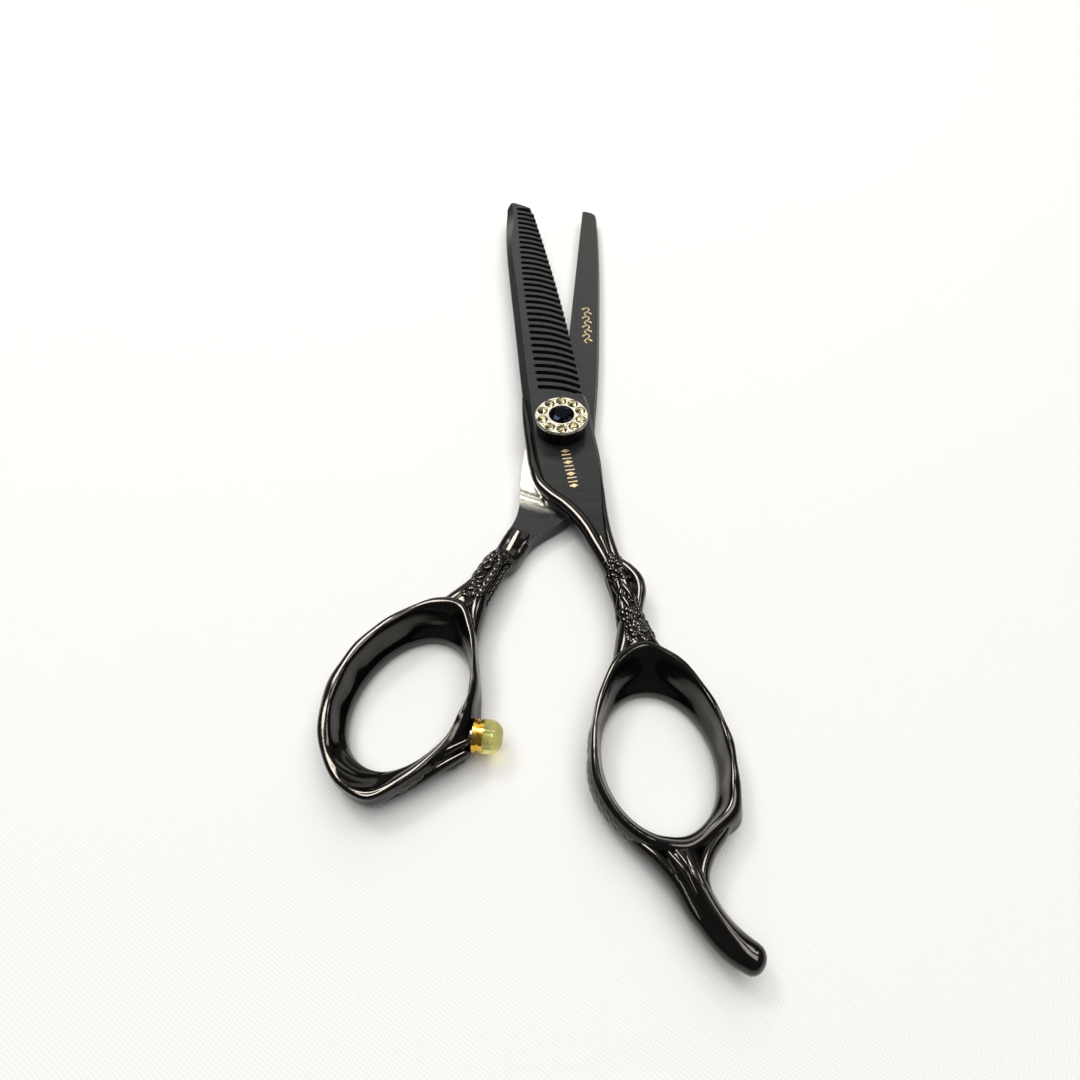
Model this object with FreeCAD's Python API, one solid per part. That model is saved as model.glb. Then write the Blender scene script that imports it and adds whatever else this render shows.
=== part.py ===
"""Thinning shears with a comb blade, a straight blade, cast handles and a stone-set tension dial.

Frame, in millimetres: the origin is on the pivot's axis at the underside of the pivot screw's head,
+Y runs from the pivot towards the tips along the line midway between the open blades, +Z is up
through the dial, and +X is on the right with the tips pointing away.
The finger half (comb blade, finger ring, tang) is the upper half at the pivot, and the thumb half
(straight blade, thumb ring, bumper) is the lower one. They are drawn open by the rest angle.
"""

import math
import os

import FreeCAD
import Part
from FreeCAD import Vector

# ---------------------------------------------------------------- driving dimensions
BLADE_REACH = 81.0            # pivot axis to the square tip, along Y
HANDLE_STRETCH = 1.0          # the handles' plan along Y, against the size they are drawn at

HEAD_PROUD = 0.8              # screw head below the lower blade
LOWER_THICK = 2.7             # straight half at the pivot
UPPER_THICK = 2.54            # comb half at the pivot
HALF_GAP = 0.06               # free play between the two halves

COMB_GRIND_WIDTH = 5.2        # ground band beside each cutting edge, and its fall at the edge
COMB_GRIND_FALL = 0.55
STRAIGHT_GRIND_WIDTH = 3.6
STRAIGHT_GRIND_FALL = 1.5
COMB_HOLLOW_WIDTH = 7.5       # shallow hollow in each blade's inner face
COMB_HOLLOW_DEPTH = 0.18
STRAIGHT_HOLLOW_WIDTH = 5.6
STRAIGHT_HOLLOW_DEPTH = 0.15
SPINE_BEVEL = (1.35, 1.25)    # width and depth along the comb half's spine
SIDE_BEVEL = (0.55, 0.5)      # along its other side
BACK_BEVEL = (0.45, 0.6)      # along the straight half's back
COVE_CIRCLE_R = 16.6          # the crescent cove at the foot of the ride face
COVE_R = 1.6
COVE_LIFT = 1.25              # the cove's centre line over the ride face

RING_HEIGHT = 7.4             # handles, from the table up
RING_ROUND = 1.5              # rounding of the rings' outer edges
HOLE_BAND = (2.0, 4.4)        # levels of the finger holes' upright band
HOLE_FLARE_LOW = 1.5
HOLE_FLARE_HIGH = 2.0
SWING_R = 23.0                # within this of the pivot each handle keeps to its own half's levels
TOOTH_COUNT = 32
FIRST_SLOT_Y = 11.6           # centre of the slot next to the pivot
SLOT_WIDTH = 1.2
SLOT_BEND_R = 26.0            # the slots' curve, which droops towards the teeth's tips
SLOT_LEAN_BASE = 1.0          # degrees of fall at the floor, next to the pivot and next to the tip
SLOT_LEAN_TIP = 5.5
SLOT_FLOOR_BASE = -4.55       # X of the slots' round ends, next to the pivot
SLOT_FLOOR_TIP = -10.0        # and next to the tip
SLOT_FLOOR_BOW = 0.55
COMB_TIP_MARGIN = 3.3         # last slot's centre to the tip

JOURNAL_R = 2.4               # the screw's bearing length in the upper half
SHOULDER_STEP = 0.3           # keyed length in the lower half, over the journal
SHOULDER_FLAT_DEPTH = 0.4     # each flat of the keyed length
THREAD_STEP = 0.4             # threaded end, under the journal
THREAD_FLAT_DEPTH = 0.25
HEAD_RIM = 1.5                # screw head's reach past the keyed length
SPANNER_HOLE_R = 0.5
SPANNER_HOLE_DEPTH = 0.55
WASHER_RIM = 2.0              # thrust washer's reach past the keyed length
WASHER_THICK = 0.5
WASHER_GAP = 0.02             # free height over each washer
SLIDE_THICK = 0.28
SPRING_LIFT = 0.45
SPRING_THICK = 0.2
CLICK_THICK = 0.25
CLICK_R = 0.42
CLICK_RISE = 0.26             # bumps over the click plate
BUSH_WALL = 0.8
RUNNING = 0.03                # radial play of a turning fit
KEY_PLAY = 0.02               # play of a keyed or pushed-in fit
BODY_GAP = 0.3                # between round pieces that pass each other without touching

STONE_COUNT = 10
STONE_R = 0.95
STONE_SPACING = 0.19          # half the metal between neighbouring stones
STONE_RIM = 0.26              # metal outside and inside the ring of stones
STONE_SEAT_DEPTH = 0.35
GIRDLE = 0.1                  # thickness of a stone at its widest
COLLAR_RISE = 0.14            # the middle stone's collar over the face
BEZEL_OVERHANG = 0.25         # face past the knurl
BEZEL_THICK = 0.65
DIAL_HEIGHT = 2.75            # knurled body
DIAL_WALL = 0.8
KNURL_COUNT = 48
KNURL_DEPTH = 0.14
CLICK_COUNT = 3

BUMPER_R = 2.45
BUMPER_LENGTH = 4.2           # collar and cap outside the ring
COLLAR_LENGTH = 1.5
BUMPER_PAD = 3.4              # flat boss inside the ring, behind the collar
STUD_R = 1.25
STUD_IN_CAP = 0.9
STUD_IN_RING = 3.0

# ---------------------------------------------------------------- levels and places worked out
LOWER_Z0 = HEAD_PROUD
LOWER_Z1 = LOWER_Z0 + LOWER_THICK
UPPER_Z0 = LOWER_Z1 + HALF_GAP
UPPER_Z1 = UPPER_Z0 + UPPER_THICK
BUSH_R = JOURNAL_R + RUNNING + BUSH_WALL
SHOULDER_R = JOURNAL_R + SHOULDER_STEP
SHOULDER_FLATS = 2 * (SHOULDER_R - SHOULDER_FLAT_DEPTH)
THREAD_R = JOURNAL_R - THREAD_STEP
THREAD_FLATS = 2 * (THREAD_R - THREAD_FLAT_DEPTH)
SCREW_HEAD_R = SHOULDER_R + HEAD_RIM
STONE_CIRCLE_R = (STONE_R + STONE_SPACING) / math.sin(math.pi / STONE_COUNT)
BEZEL_R = STONE_CIRCLE_R + STONE_R + STONE_RIM
DIAL_R = BEZEL_R - BEZEL_OVERHANG
CENTRE_STONE_R = STONE_CIRCLE_R - STONE_R - STONE_RIM - 0.13
WASHER_R = SHOULDER_R + WASHER_RIM
THREAD_TOP = UPPER_Z1 + 2.7
SLIDE_Z0 = UPPER_Z1 + WASHER_GAP
SPRING_Z0 = SLIDE_Z0 + SLIDE_THICK + WASHER_GAP
CLICK_Z0 = SPRING_Z0 + SPRING_LIFT + SPRING_THICK + WASHER_GAP
DIAL_Z0 = UPPER_Z1 + 0.15
DIAL_Z1 = DIAL_Z0 + DIAL_HEIGHT
DIAL_ROOF = CLICK_Z0 + CLICK_THICK + 0.25
DIAL_POCKET_R = DIAL_R - DIAL_WALL
CLICK_CIRCLE_R = (DIAL_POCKET_R + THREAD_R) / 2
BEZEL_Z1 = DIAL_Z1 + BEZEL_THICK
MID_Z = RING_HEIGHT / 2
UP = Vector(0, 0, 1)

# the plan is drawn at these sizes; blade_y and handle_y stretch it to the driving dimensions
DRAWN_REACH = 81.0
BOSS_TOP_Y = 10.0
FOOT_Y = -26.0


def v(x, y, z=0.0):
    """A point."""
    return Vector(x, y, z)


def blade_y(y):
    """A Y on a blade, which stretches with the blades' reach beyond the pivot boss."""
    stretch = (BLADE_REACH - BOSS_TOP_Y) / (DRAWN_REACH - BOSS_TOP_Y)
    return y if y < BOSS_TOP_Y else BOSS_TOP_Y + (y - BOSS_TOP_Y) * stretch


def handle_y(y):
    """A Y on a handle, which stretches below the boss."""
    return y if y > FOOT_Y else FOOT_Y + (y - FOOT_Y) * HANDLE_STRETCH


def spline(points, z=0.0):
    """One smooth edge through the points."""
    curve = Part.BSplineCurve()
    curve.interpolate([v(x, y, z) for x, y in points])
    return curve.toShape()


def line(a, b, z=0.0):
    """A straight edge."""
    return Part.LineSegment(v(*a, z), v(*b, z)).toShape()


def arc(a, mid, b, z=0.0):
    """An arc through three points."""
    return Part.Arc(v(*a, z), v(*mid, z), v(*b, z)).toShape()


def prism(edges, z0, z1):
    """A solid between two levels from a closed outline drawn at level 0."""
    face = Part.Face(Part.Wire(Part.__sortEdges__(edges)))
    face.translate(v(0, 0, z0))
    return face.extrude(v(0, 0, z1 - z0))


def disc(radius, z0, z1, x=0.0, y=0.0):
    """An upright cylinder."""
    return Part.makeCylinder(radius, z1 - z0, v(x, y, z0), UP)


def turned(profile):
    """A solid of revolution about the pivot's axis from (radius, z) corners."""
    corners = [v(r, 0, z) for r, z in profile]
    face = Part.Face(Part.makePolygon(corners + corners[:1]))
    return face.revolve(v(0, 0, 0), UP, 360)


def save(name, shape):
    """Writes one node, which is always one solid."""
    solid, = shape.removeSplitter().Solids
    solid.exportStep(os.path.join("parts", name + ".step"))
    print(f"{name:18s} volume {solid.Volume:9.3f} valid {solid.isValid()}")
    return solid


# ---------------------------------------------------------------- outlines shared by both halves
# each half's sides below the pivot, from the blade's spine round the foot to the other side
BOSS_INNER = [(-6.4, 0.0), (-5.9, -5.0), (-5.15, -10.0), (-4.2, -14.2)]
BOSS_SWEEP = [(-4.2, -14.2), (-2.4, -17.2), (0.4, -19.8), (2.7, -22.6), (4.4, -26.0)]
BOSS_OUTER = [(7.9, -26.0), (7.55, -20.0), (7.3, -12.0), (6.85, -5.0), (6.2, 0.0)]

THUMB_INNER = [(6.4, 0.0), (5.9, -5.0), (5.15, -10.0), (4.2, -14.2)]
THUMB_SWEEP = [(4.2, -14.2), (2.5, -17.4), (-0.2, -20.2), (-3.5, -22.6), (-6.0, -25.2)]
THUMB_OUTER = [(-9.7, -22.4), (-7.95, -18.4), (-7.5, -12.0), (-7.05, -5.4), (-6.3, 0.0)]

COMB_EDGE = [(4.3, 10.4), (2.65, 26.0), (-0.55, 48.0), (-5.8, 77.5)]
COMB_TIP_SPINE = (-10.6, 80.6)
COMB_HEEL = [(5.6, 6.0), (4.9, 9.6)]
COMB_SPINE = [(-12.25, 78.6), (-12.15, 65.0), (-10.95, 49.0), (-9.2, 30.0), (-7.5, 11.0)]

STRAIGHT_EDGE_BASE = (0.3, 9.0)
STRAIGHT_TIP_EDGE = (7.0, 81.0)
STRAIGHT_SPINE = [(10.5, 78.4), (10.25, 58.0), (9.1, 34.0), (7.7, 13.0)]


def edge_frame(base, tip):
    """Unit vectors along a cutting edge, and square to it on its left."""
    along = (v(*tip) - v(*base)).normalize()
    return along, v(-along.y, along.x)


def grind(base, tip, inward, width, fall, z_top):
    """What a convex grind takes off: the space above a cylinder that runs beside a cutting edge.

    The cylinder meets the flat face at width from the edge, and lies below it by fall at the edge.
    """
    run_out = 0.6
    past_edge = 6.0
    along, _ = edge_frame(base, tip)
    radius = (width**2 + fall**2) / (2 * fall)
    length = (v(*tip) - v(*base)).Length + 2 * run_out
    start = v(*base) - along * run_out
    centre = start + inward * width + v(0, 0, z_top - radius)
    cylinder = Part.makeCylinder(radius, length, centre, along)
    low = v(0, 0, z_top - fall - 1.0)
    tall = v(0, 0, past_edge)
    a = start + inward * width + low
    b = start - inward * past_edge + low
    block = Part.Face(Part.makePolygon([a, b, b + tall, a + tall, a]))
    return block.extrude(along * length).cut(cylinder)


def hollow(base, tip, inward, width, depth, z_face, side):
    """The bite of a long cylinder that hollows a blade's inner face; side is 1 for a face that looks down."""
    from_base = 4.0
    from_edge = 0.5
    along, _ = edge_frame(base, tip)
    radius = (width**2 / 4 + depth**2) / (2 * depth)
    start = v(*base) + along * from_base + inward * (width / 2 + from_edge)
    centre = start + v(0, 0, z_face - side * (radius - depth))
    return Part.makeCylinder(radius, BLADE_REACH * 1.2, centre, along)


# ---------------------------------------------------------------- the finger half
def slot_outline(x, y, lean):
    """One slot's edges: a band along an arc that starts with a lean, round at its floor."""
    reach = 15.0
    centre = v(x - SLOT_BEND_R * math.sin(lean), y - SLOT_BEND_R * math.cos(lean))

    def at(radius, turn):
        return centre + v(math.sin(turn), math.cos(turn)) * radius

    outer, inner = SLOT_BEND_R + SLOT_WIDTH / 2, SLOT_BEND_R - SLOT_WIDTH / 2
    middle, end = lean + reach / 2 / SLOT_BEND_R, lean + reach / SLOT_BEND_R
    floor = at(SLOT_BEND_R, lean) - v(math.cos(lean), -math.sin(lean)) * (SLOT_WIDTH / 2)
    return [
        Part.Arc(at(outer, lean), at(outer, middle), at(outer, end)).toShape(),
        Part.LineSegment(at(outer, end), at(inner, end)).toShape(),
        Part.Arc(at(inner, end), at(inner, middle), at(inner, lean)).toShape(),
        Part.Arc(at(inner, lean), floor, at(outer, lean)).toShape(),
    ]


def comb_slots():
    """The slots between the teeth, evenly spaced, with their floors on a shallow bow."""
    last = BLADE_REACH - COMB_TIP_MARGIN
    pitch = (last - FIRST_SLOT_Y) / (TOOTH_COUNT - 1)
    cuts = []
    for i in range(TOOTH_COUNT):
        share = i / (TOOTH_COUNT - 1)
        x = SLOT_FLOOR_BASE + share * (SLOT_FLOOR_TIP - SLOT_FLOOR_BASE)
        x -= SLOT_FLOOR_BOW * math.sin(math.pi * share)
        lean = math.radians(SLOT_LEAN_BASE + (SLOT_LEAN_TIP - SLOT_LEAN_BASE) * share)
        edges = slot_outline(x + SLOT_WIDTH / 2, FIRST_SLOT_Y + i * pitch, lean)
        cuts.append(prism(edges, UPPER_Z0 - 1, UPPER_Z1 + 1))
    return cuts


def comb_blade():
    """The upper half's forged blade: comb, boss and the swept foot that the handle is welded to."""
    cutting = [(x, blade_y(y)) for x, y in COMB_EDGE]
    base, tip = cutting[0], cutting[-1]
    tip_spine = (COMB_TIP_SPINE[0], blade_y(COMB_TIP_SPINE[1]))
    spine = [(x, blade_y(y)) for x, y in COMB_SPINE]
    edges = [
        spline(cutting),
        arc(tip, ((tip[0] + tip_spine[0]) / 2, (tip[1] + tip_spine[1]) / 2 + 0.25), tip_spine),
        arc(tip_spine, (spine[0][0] + 0.4, tip_spine[1] - 0.6), spine[0]),
        spline(spine + BOSS_INNER),
        spline(BOSS_SWEEP),
        line(BOSS_SWEEP[-1], BOSS_OUTER[0]),
        spline(BOSS_OUTER + COMB_HEEL),
        line(COMB_HEEL[-1], base),
    ]
    body = prism(edges, UPPER_Z0, UPPER_Z1)
    _, inward = edge_frame(base, tip)
    body = body.cut(grind(base, tip, inward, COMB_GRIND_WIDTH, COMB_GRIND_FALL, UPPER_Z1))
    body = body.cut(hollow(base, tip, inward, COMB_HOLLOW_WIDTH, COMB_HOLLOW_DEPTH, UPPER_Z0, 1))
    past_tip = [(-13.0, blade_y(81.4))]
    for run in (past_tip + spine + BOSS_INNER, BOSS_SWEEP + [(5.2, -28.5)]):
        body = body.cut(bevel_bar(run, *SPINE_BEVEL, UPPER_Z1))
    body = body.cut(bevel_bar([(8.3, -29.0)] + BOSS_OUTER + COMB_HEEL, *SIDE_BEVEL, UPPER_Z1))
    body = body.cut(Part.makeCompound(comb_slots()))
    return body.cut(disc(BUSH_R, UPPER_Z0 - 1, UPPER_Z1 + 1))


def inset(points, width):
    """The points moved square to their own run, to its left, by a width."""
    moved = []
    for i, (x, y) in enumerate(points):
        ax, ay = points[max(i - 1, 0)]
        bx, by = points[min(i + 1, len(points) - 1)]
        long = math.hypot(bx - ax, by - ay)
        moved.append((x - (by - ay) / long * width, y + (bx - ax) / long * width))
    return moved


def bevel_bar(points, width, depth, z_top):
    """What a bevel along an edge takes off: a three-cornered bar that follows the edge."""
    past = 0.8
    over = 0.6
    rails = [
        (inset(points, -past), z_top + over),
        (inset(points, width + width * over / depth), z_top + over),
        (inset(points, -past), z_top - depth - depth * past / width),
    ]
    a, b, c = [spline(run, z) for run, z in rails]
    sides = [Part.makeRuledSurface(*pair) for pair in ((a, b), (b, c), (c, a))]
    ends = []
    for end in (0, -1):
        corners = [v(run[end][0], run[end][1], z) for run, z in rails]
        ends.append(Part.Face(Part.makePolygon(corners + corners[:1])))
    shell = Part.makeShell(sides + ends)
    shell.sewShape()
    solid = Part.Solid(shell)
    if solid.Volume < 0:
        solid.reverse()
    return solid


# ---------------------------------------------------------------- handles
THUMB_RING = [
    (-15.6, -38.2), (-20.0, -37.7), (-27.0, -41.2), (-33.2, -46.8), (-36.2, -54.8),
    (-34.5, -60.6), (-30.4, -66.0), (-27.2, -67.9), (-23.6, -66.3), (-19.4, -63.7),
    (-14.8, -61.8), (-12.7, -58.8), (-12.4, -54.5), (-13.1, -48.0), (-14.0, -42.0),
]
THUMB_HOLE = ((-23.3, -53.4), 11.2, 8.0, 64.0)      # centre, half lengths, long axis from +X
FINGER_RING = [
    (11.5, -45.2), (15.8, -47.4), (20.4, -53.4), (23.1, -60.5), (23.6, -67.2),
    (23.0, -70.2), (19.6, -72.6), (15.6, -75.6), (10.4, -73.9), (6.0, -70.6),
    (3.3, -66.4), (2.75, -59.6), (4.5, -53.0), (7.8, -47.2),
]
FINGER_HOLE = ((12.8, -62.4), 10.6, 8.0, 98.0)


def ring(outline, hole):
    """A ring: its outline rounded top and bottom, with an oval finger hole flared at both faces."""
    points = [v(x, handle_y(y)) for x, y in outline]
    curve = Part.BSplineCurve()
    curve.interpolate(points, PeriodicFlag=True)
    face = Part.Face(Part.Wire([curve.toShape()]))
    blank = face.extrude(v(0, 0, RING_HEIGHT))
    blank = blank.makeFillet(RING_ROUND, blank.Edges)
    (cx, cy), long_half, short_half, angle = hole
    middle = v(cx, handle_y(cy))
    sections = []
    levels = (-0.01, *HOLE_BAND, RING_HEIGHT + 0.01)
    for z, flare in zip(levels, (HOLE_FLARE_LOW, 0.0, 0.0, HOLE_FLARE_HIGH)):
        oval = Part.Ellipse(v(0, 0, 0), long_half + flare, short_half + flare * 0.85)
        wire = Part.Wire([oval.toShape()])
        wire.rotate(v(0, 0, 0), UP, angle)
        wire.translate(middle + v(0, 0, z))
        sections.append(wire)
    return blank.cut(Part.makeLoft(sections, True, False))


def limb(stations):
    """A shank or tang: ovals of (x, y, z, width, height) lofted along a path."""
    centres = [v(x, handle_y(y), z) for x, y, z, _, _ in stations]
    sections = []
    for i, (_, _, _, width, height) in enumerate(stations):
        ahead = centres[min(i + 1, len(centres) - 1)] - centres[max(i - 1, 0)]
        ahead.z = 0
        ahead.normalize()
        across = v(-ahead.y, ahead.x) * (width / 2)
        matrix = FreeCAD.Matrix(
            across.x, 0, ahead.x, centres[i].x,
            across.y, 0, ahead.y, centres[i].y,
            0, height / 2, 0, centres[i].z,
            0, 0, 0, 1,
        )
        sections.append(Part.Wire([Part.makeCircle(1.0)]).transformGeometry(matrix))
    solid = Part.makeLoft(sections, True, False)
    if solid.Volume < 0:
        solid.reverse()
    return solid


FINGER_SHANK = [
    (5.6, -22.5, 4.6, 3.4, 3.2), (6.3, -26.0, 4.2, 3.6, 4.2), (7.4, -30.0, 3.9, 3.6, 5.0),
    (8.9, -34.0, MID_Z, 4.2, 5.4), (9.9, -38.5, MID_Z, 4.0, 5.4), (10.4, -43.0, MID_Z, 4.2, 5.4),
    (11.4, -47.5, MID_Z, 6.4, 5.8),
]
THUMB_SHANK = [
    (-6.3, -21.4, 3.2, 4.4, 3.2), (-8.2, -24.4, 3.5, 4.6, 4.4), (-10.4, -28.0, MID_Z, 4.2, 5.0),
    (-12.3, -31.6, MID_Z, 4.2, 5.4), (-14.5, -35.8, MID_Z, 5.2, 5.6),
    (-17.4, -40.2, MID_Z, 7.0, 5.8),
]
TANG = [
    (13.6, -72.0, MID_Z, 7.0, 5.6), (15.1, -76.2, MID_Z, 4.6, 5.0), (16.8, -80.2, 3.8, 3.9, 4.4),
    (19.2, -84.2, 4.0, 3.8, 4.2), (21.9, -87.2, 4.2, 3.2, 3.6), (23.1, -88.3, 4.25, 1.6, 2.0),
]
BUMPER_ROOT = (-13.45, -59.0)
BUMPER_ANGLE = -6.0


def bumper_axis():
    """Where the bumper leaves the ring, and its direction."""
    a = math.radians(BUMPER_ANGLE)
    return v(BUMPER_ROOT[0], handle_y(BUMPER_ROOT[1]), MID_Z), v(math.cos(a), math.sin(a), 0)


def hole_free(shape, hole):
    """A piece of a handle with the finger hole's whole height kept open."""
    (cx, cy), long_half, short_half, angle = hole
    oval = Part.Ellipse(v(0, 0, 0), long_half + 1.4, short_half + 1.2)
    wire = Part.Wire([oval.toShape()])
    wire.rotate(v(0, 0, 0), UP, angle)
    wire.translate(v(cx, handle_y(cy), -1))
    return shape.cut(Part.Face(wire).extrude(v(0, 0, RING_HEIGHT + 2)))


def finger_handle(blade):
    """Finger ring, tang and shank, cast in one and welded to the comb half's foot."""
    body = ring(FINGER_RING, FINGER_HOLE).fuse([hole_free(limb(FINGER_SHANK), FINGER_HOLE),
                                                hole_free(limb(TANG), FINGER_HOLE)])
    # below the joint plane the casting stops short of the lower half's foot as it swings past
    swing = disc(SWING_R, -1, UPPER_Z0)
    return body.cut(swing).cut(blade)


def thumb_handle(blade):
    """Thumb ring and shank, cast in one and welded to the straight half's foot."""
    root, along = bumper_axis()
    pad = Part.makeCylinder(BUMPER_R + 0.15, BUMPER_PAD, root - along * BUMPER_PAD, along)
    body = ring(THUMB_RING, THUMB_HOLE).fuse([hole_free(limb(THUMB_SHANK), THUMB_HOLE),
                                              hole_free(pad, THUMB_HOLE)])
    beyond = Part.makeCylinder(6.0, 4.0, root, along)
    tap = Part.makeCylinder(STUD_R, STUD_IN_RING + 1, root - along * STUD_IN_RING, along)
    swing = disc(SWING_R, LOWER_Z1, RING_HEIGHT + 1)
    return body.cut(beyond).cut(tap).cut(swing).cut(blade)


# ---------------------------------------------------------------- the thumb half
def straight_blade():
    """The lower half's forged blade with its boss, ride face and swept foot."""
    base = STRAIGHT_EDGE_BASE
    tip = (STRAIGHT_TIP_EDGE[0], blade_y(STRAIGHT_TIP_EDGE[1]))
    spine = [(x, blade_y(y)) for x, y in STRAIGHT_SPINE]
    edges = [
        line(base, tip),
        arc(tip, (9.35, tip[1] - 0.55), spine[0]),
        spline(spine + THUMB_INNER),
        spline(THUMB_SWEEP),
        line(THUMB_SWEEP[-1], THUMB_OUTER[0]),
        spline(THUMB_OUTER + [(-5.0, 5.0), (-3.2, 8.2)]),
        line((-3.2, 8.2), base),
    ]
    body = prism(edges, LOWER_Z0, LOWER_Z1)
    _, side = edge_frame(base, tip)
    inward = side * -1
    under = grind(base, tip, inward, STRAIGHT_GRIND_WIDTH, STRAIGHT_GRIND_FALL, UPPER_Z1)
    under = under.mirror(v(0, 0, (UPPER_Z1 + LOWER_Z0) / 2), UP)
    body = body.cut(under)
    body = body.cut(hollow(base, tip, inward, STRAIGHT_HOLLOW_WIDTH, STRAIGHT_HOLLOW_DEPTH, LOWER_Z1, -1))
    back = THUMB_INNER[:1] + spine[::-1] + [(10.3, blade_y(83.0))]
    body = body.cut(bevel_bar(back, *BACK_BEVEL, LOWER_Z1))
    # the crescent at the foot of the ride: a cove cut on a circle about the pivot
    cove = Part.makeTorus(COVE_CIRCLE_R, COVE_R, v(0, 0, LOWER_Z1 + COVE_LIFT), UP)
    body = body.cut(cove.common(Part.makeBox(40, 20, 4, v(-20, -20, LOWER_Z1 - 1))))
    body = body.cut(disc(WASHER_R + KEY_PLAY, LOWER_Z1 - WASHER_THICK, LOWER_Z1 + 1))
    return body.cut(keyed(SHOULDER_R + KEY_PLAY, SHOULDER_FLATS + 2 * KEY_PLAY, LOWER_Z0 - 1, LOWER_Z1 + 1))


def keyed(radius, across, z0, z1):
    """A round bar with two flats."""
    flats = Part.makeBox(across, 4 * radius, z1 - z0, v(-across / 2, -2 * radius, z0))
    return disc(radius, z0, z1).common(flats)


# ---------------------------------------------------------------- the pivot

def pivot_screw():
    """The screw: a flat head with two spanner holes, a keyed shoulder, a journal and a thread."""
    body = disc(SCREW_HEAD_R, 0, LOWER_Z0).fuse(keyed(SHOULDER_R, SHOULDER_FLATS, 0, LOWER_Z1))
    body = body.fuse(disc(JOURNAL_R, LOWER_Z1 - 0.1, UPPER_Z1))
    body = body.fuse(keyed(THREAD_R, THREAD_FLATS, UPPER_Z1 - 0.1, THREAD_TOP))
    for x in (HEAD_RIM - SCREW_HEAD_R, SCREW_HEAD_R - HEAD_RIM):
        body = body.cut(disc(SPANNER_HOLE_R, -0.1, SPANNER_HOLE_DEPTH, x, 0))
    rim = [e for e in body.Edges if e.BoundBox.ZMax < 0.01 and e.BoundBox.XLength > 5]
    return body.makeChamfer(0.25, rim)


def pivot_bush():
    """The bronze bush pressed into the comb half."""
    return disc(BUSH_R, UPPER_Z0, UPPER_Z1).cut(disc(JOURNAL_R + RUNNING, UPPER_Z0 - 1, UPPER_Z1 + 1))


def washer(outer, inner, z0, thick):
    """A flat washer."""
    return disc(outer, z0, z0 + thick).cut(disc(inner, z0 - 1, z0 + thick + 1))


def tension_spring():
    """A conical spring washer, its wide end down."""
    outer, inner = DIAL_POCKET_R - BODY_GAP, THREAD_R + 0.15
    z = SPRING_Z0
    return turned([(outer, z), (outer, z + SPRING_THICK),
                   (inner, z + SPRING_LIFT + SPRING_THICK), (inner, z + SPRING_LIFT)])


def click_plate():
    """The plate keyed to the screw, with round bumps that the dial clicks over."""
    plate = disc(DIAL_POCKET_R - BODY_GAP, CLICK_Z0, CLICK_Z0 + CLICK_THICK)
    hole = keyed(THREAD_R + KEY_PLAY, THREAD_FLATS + 2 * KEY_PLAY, CLICK_Z0 - 1, CLICK_Z0 + 1)
    plate = plate.cut(hole)
    for i in range(CLICK_COUNT):
        a = 2 * math.pi * i / CLICK_COUNT
        x, y = CLICK_CIRCLE_R * math.cos(a), CLICK_CIRCLE_R * math.sin(a)
        top = CLICK_Z0 + CLICK_THICK
        bump = Part.makeSphere(CLICK_R, v(x, y, top + CLICK_RISE - CLICK_R))
        trim = disc(CLICK_R, top - 0.1, top + 0.4, x, y)
        plate = plate.fuse(bump.common(trim))
    return plate


def dial_body():
    """The knurled dial: pocket for the washers, threaded bore and a seat for the bezel."""
    body = turned([(0, DIAL_Z0), (DIAL_R - 0.35, DIAL_Z0), (DIAL_R, DIAL_Z0 + 0.5),
                   (DIAL_R, DIAL_Z1 - 0.2), (DIAL_R - 0.2, DIAL_Z1), (0, DIAL_Z1)])
    groove = DIAL_R * math.pi / KNURL_COUNT * 0.62
    cuts = []
    for i in range(KNURL_COUNT):
        a = 2 * math.pi * i / KNURL_COUNT
        centre = v((DIAL_R - KNURL_DEPTH + groove) * math.cos(a),
                   (DIAL_R - KNURL_DEPTH + groove) * math.sin(a), DIAL_Z0 + 0.35)
        cuts.append(Part.makeCylinder(groove, DIAL_HEIGHT - 0.6, centre, UP))
    body = body.cut(Part.makeCompound(cuts))
    body = body.cut(disc(DIAL_POCKET_R, DIAL_Z0 - 1, DIAL_ROOF))
    # the click track stays clear of the bumps all the way round
    track = Part.makeTorus(CLICK_CIRCLE_R, CLICK_R + 0.08, v(0, 0, DIAL_ROOF - 0.05), UP)
    body = body.cut(track)
    body = body.cut(disc(THREAD_R + RUNNING, DIAL_Z0 - 1, DIAL_Z1 + 1))
    return body.cut(disc(CENTRE_STONE_R - 0.25, THREAD_TOP + 0.05, DIAL_Z1 + 1))


def stone_places():
    """The stones' angles and centres, the first one nearest the handles."""
    for i in range(STONE_COUNT):
        a = -math.pi / 2 + 2 * math.pi * i / STONE_COUNT
        yield i + 1, STONE_CIRCLE_R * math.cos(a), STONE_CIRCLE_R * math.sin(a)


def dial_bezel():
    """The plated face: a crowned ring with a cup for each stone and a collar for the middle one."""
    z0, z1 = DIAL_Z1, BEZEL_Z1
    body = turned([(0, z0), (BEZEL_R - 0.25, z0), (BEZEL_R, z0 + 0.22), (BEZEL_R, z1 - 0.25),
                   (BEZEL_R - 0.22, z1), (CENTRE_STONE_R + 0.32, z1),
                   (CENTRE_STONE_R + 0.26, z1 + COLLAR_RISE), (0, z1 + COLLAR_RISE)])
    body = body.cut(disc(CENTRE_STONE_R + KEY_PLAY, z1 - 0.15, z1 + 1))
    cone = Part.makeCone(CENTRE_STONE_R - 0.25, CENTRE_STONE_R + KEY_PLAY, z1 - 0.15 - z0, v(0, 0, z0))
    body = body.cut(cone)
    for _, x, y in stone_places():
        body = body.cut(disc(STONE_R + KEY_PLAY, z1 - STONE_SEAT_DEPTH, z1 + 1, x, y))
    return body


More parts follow.
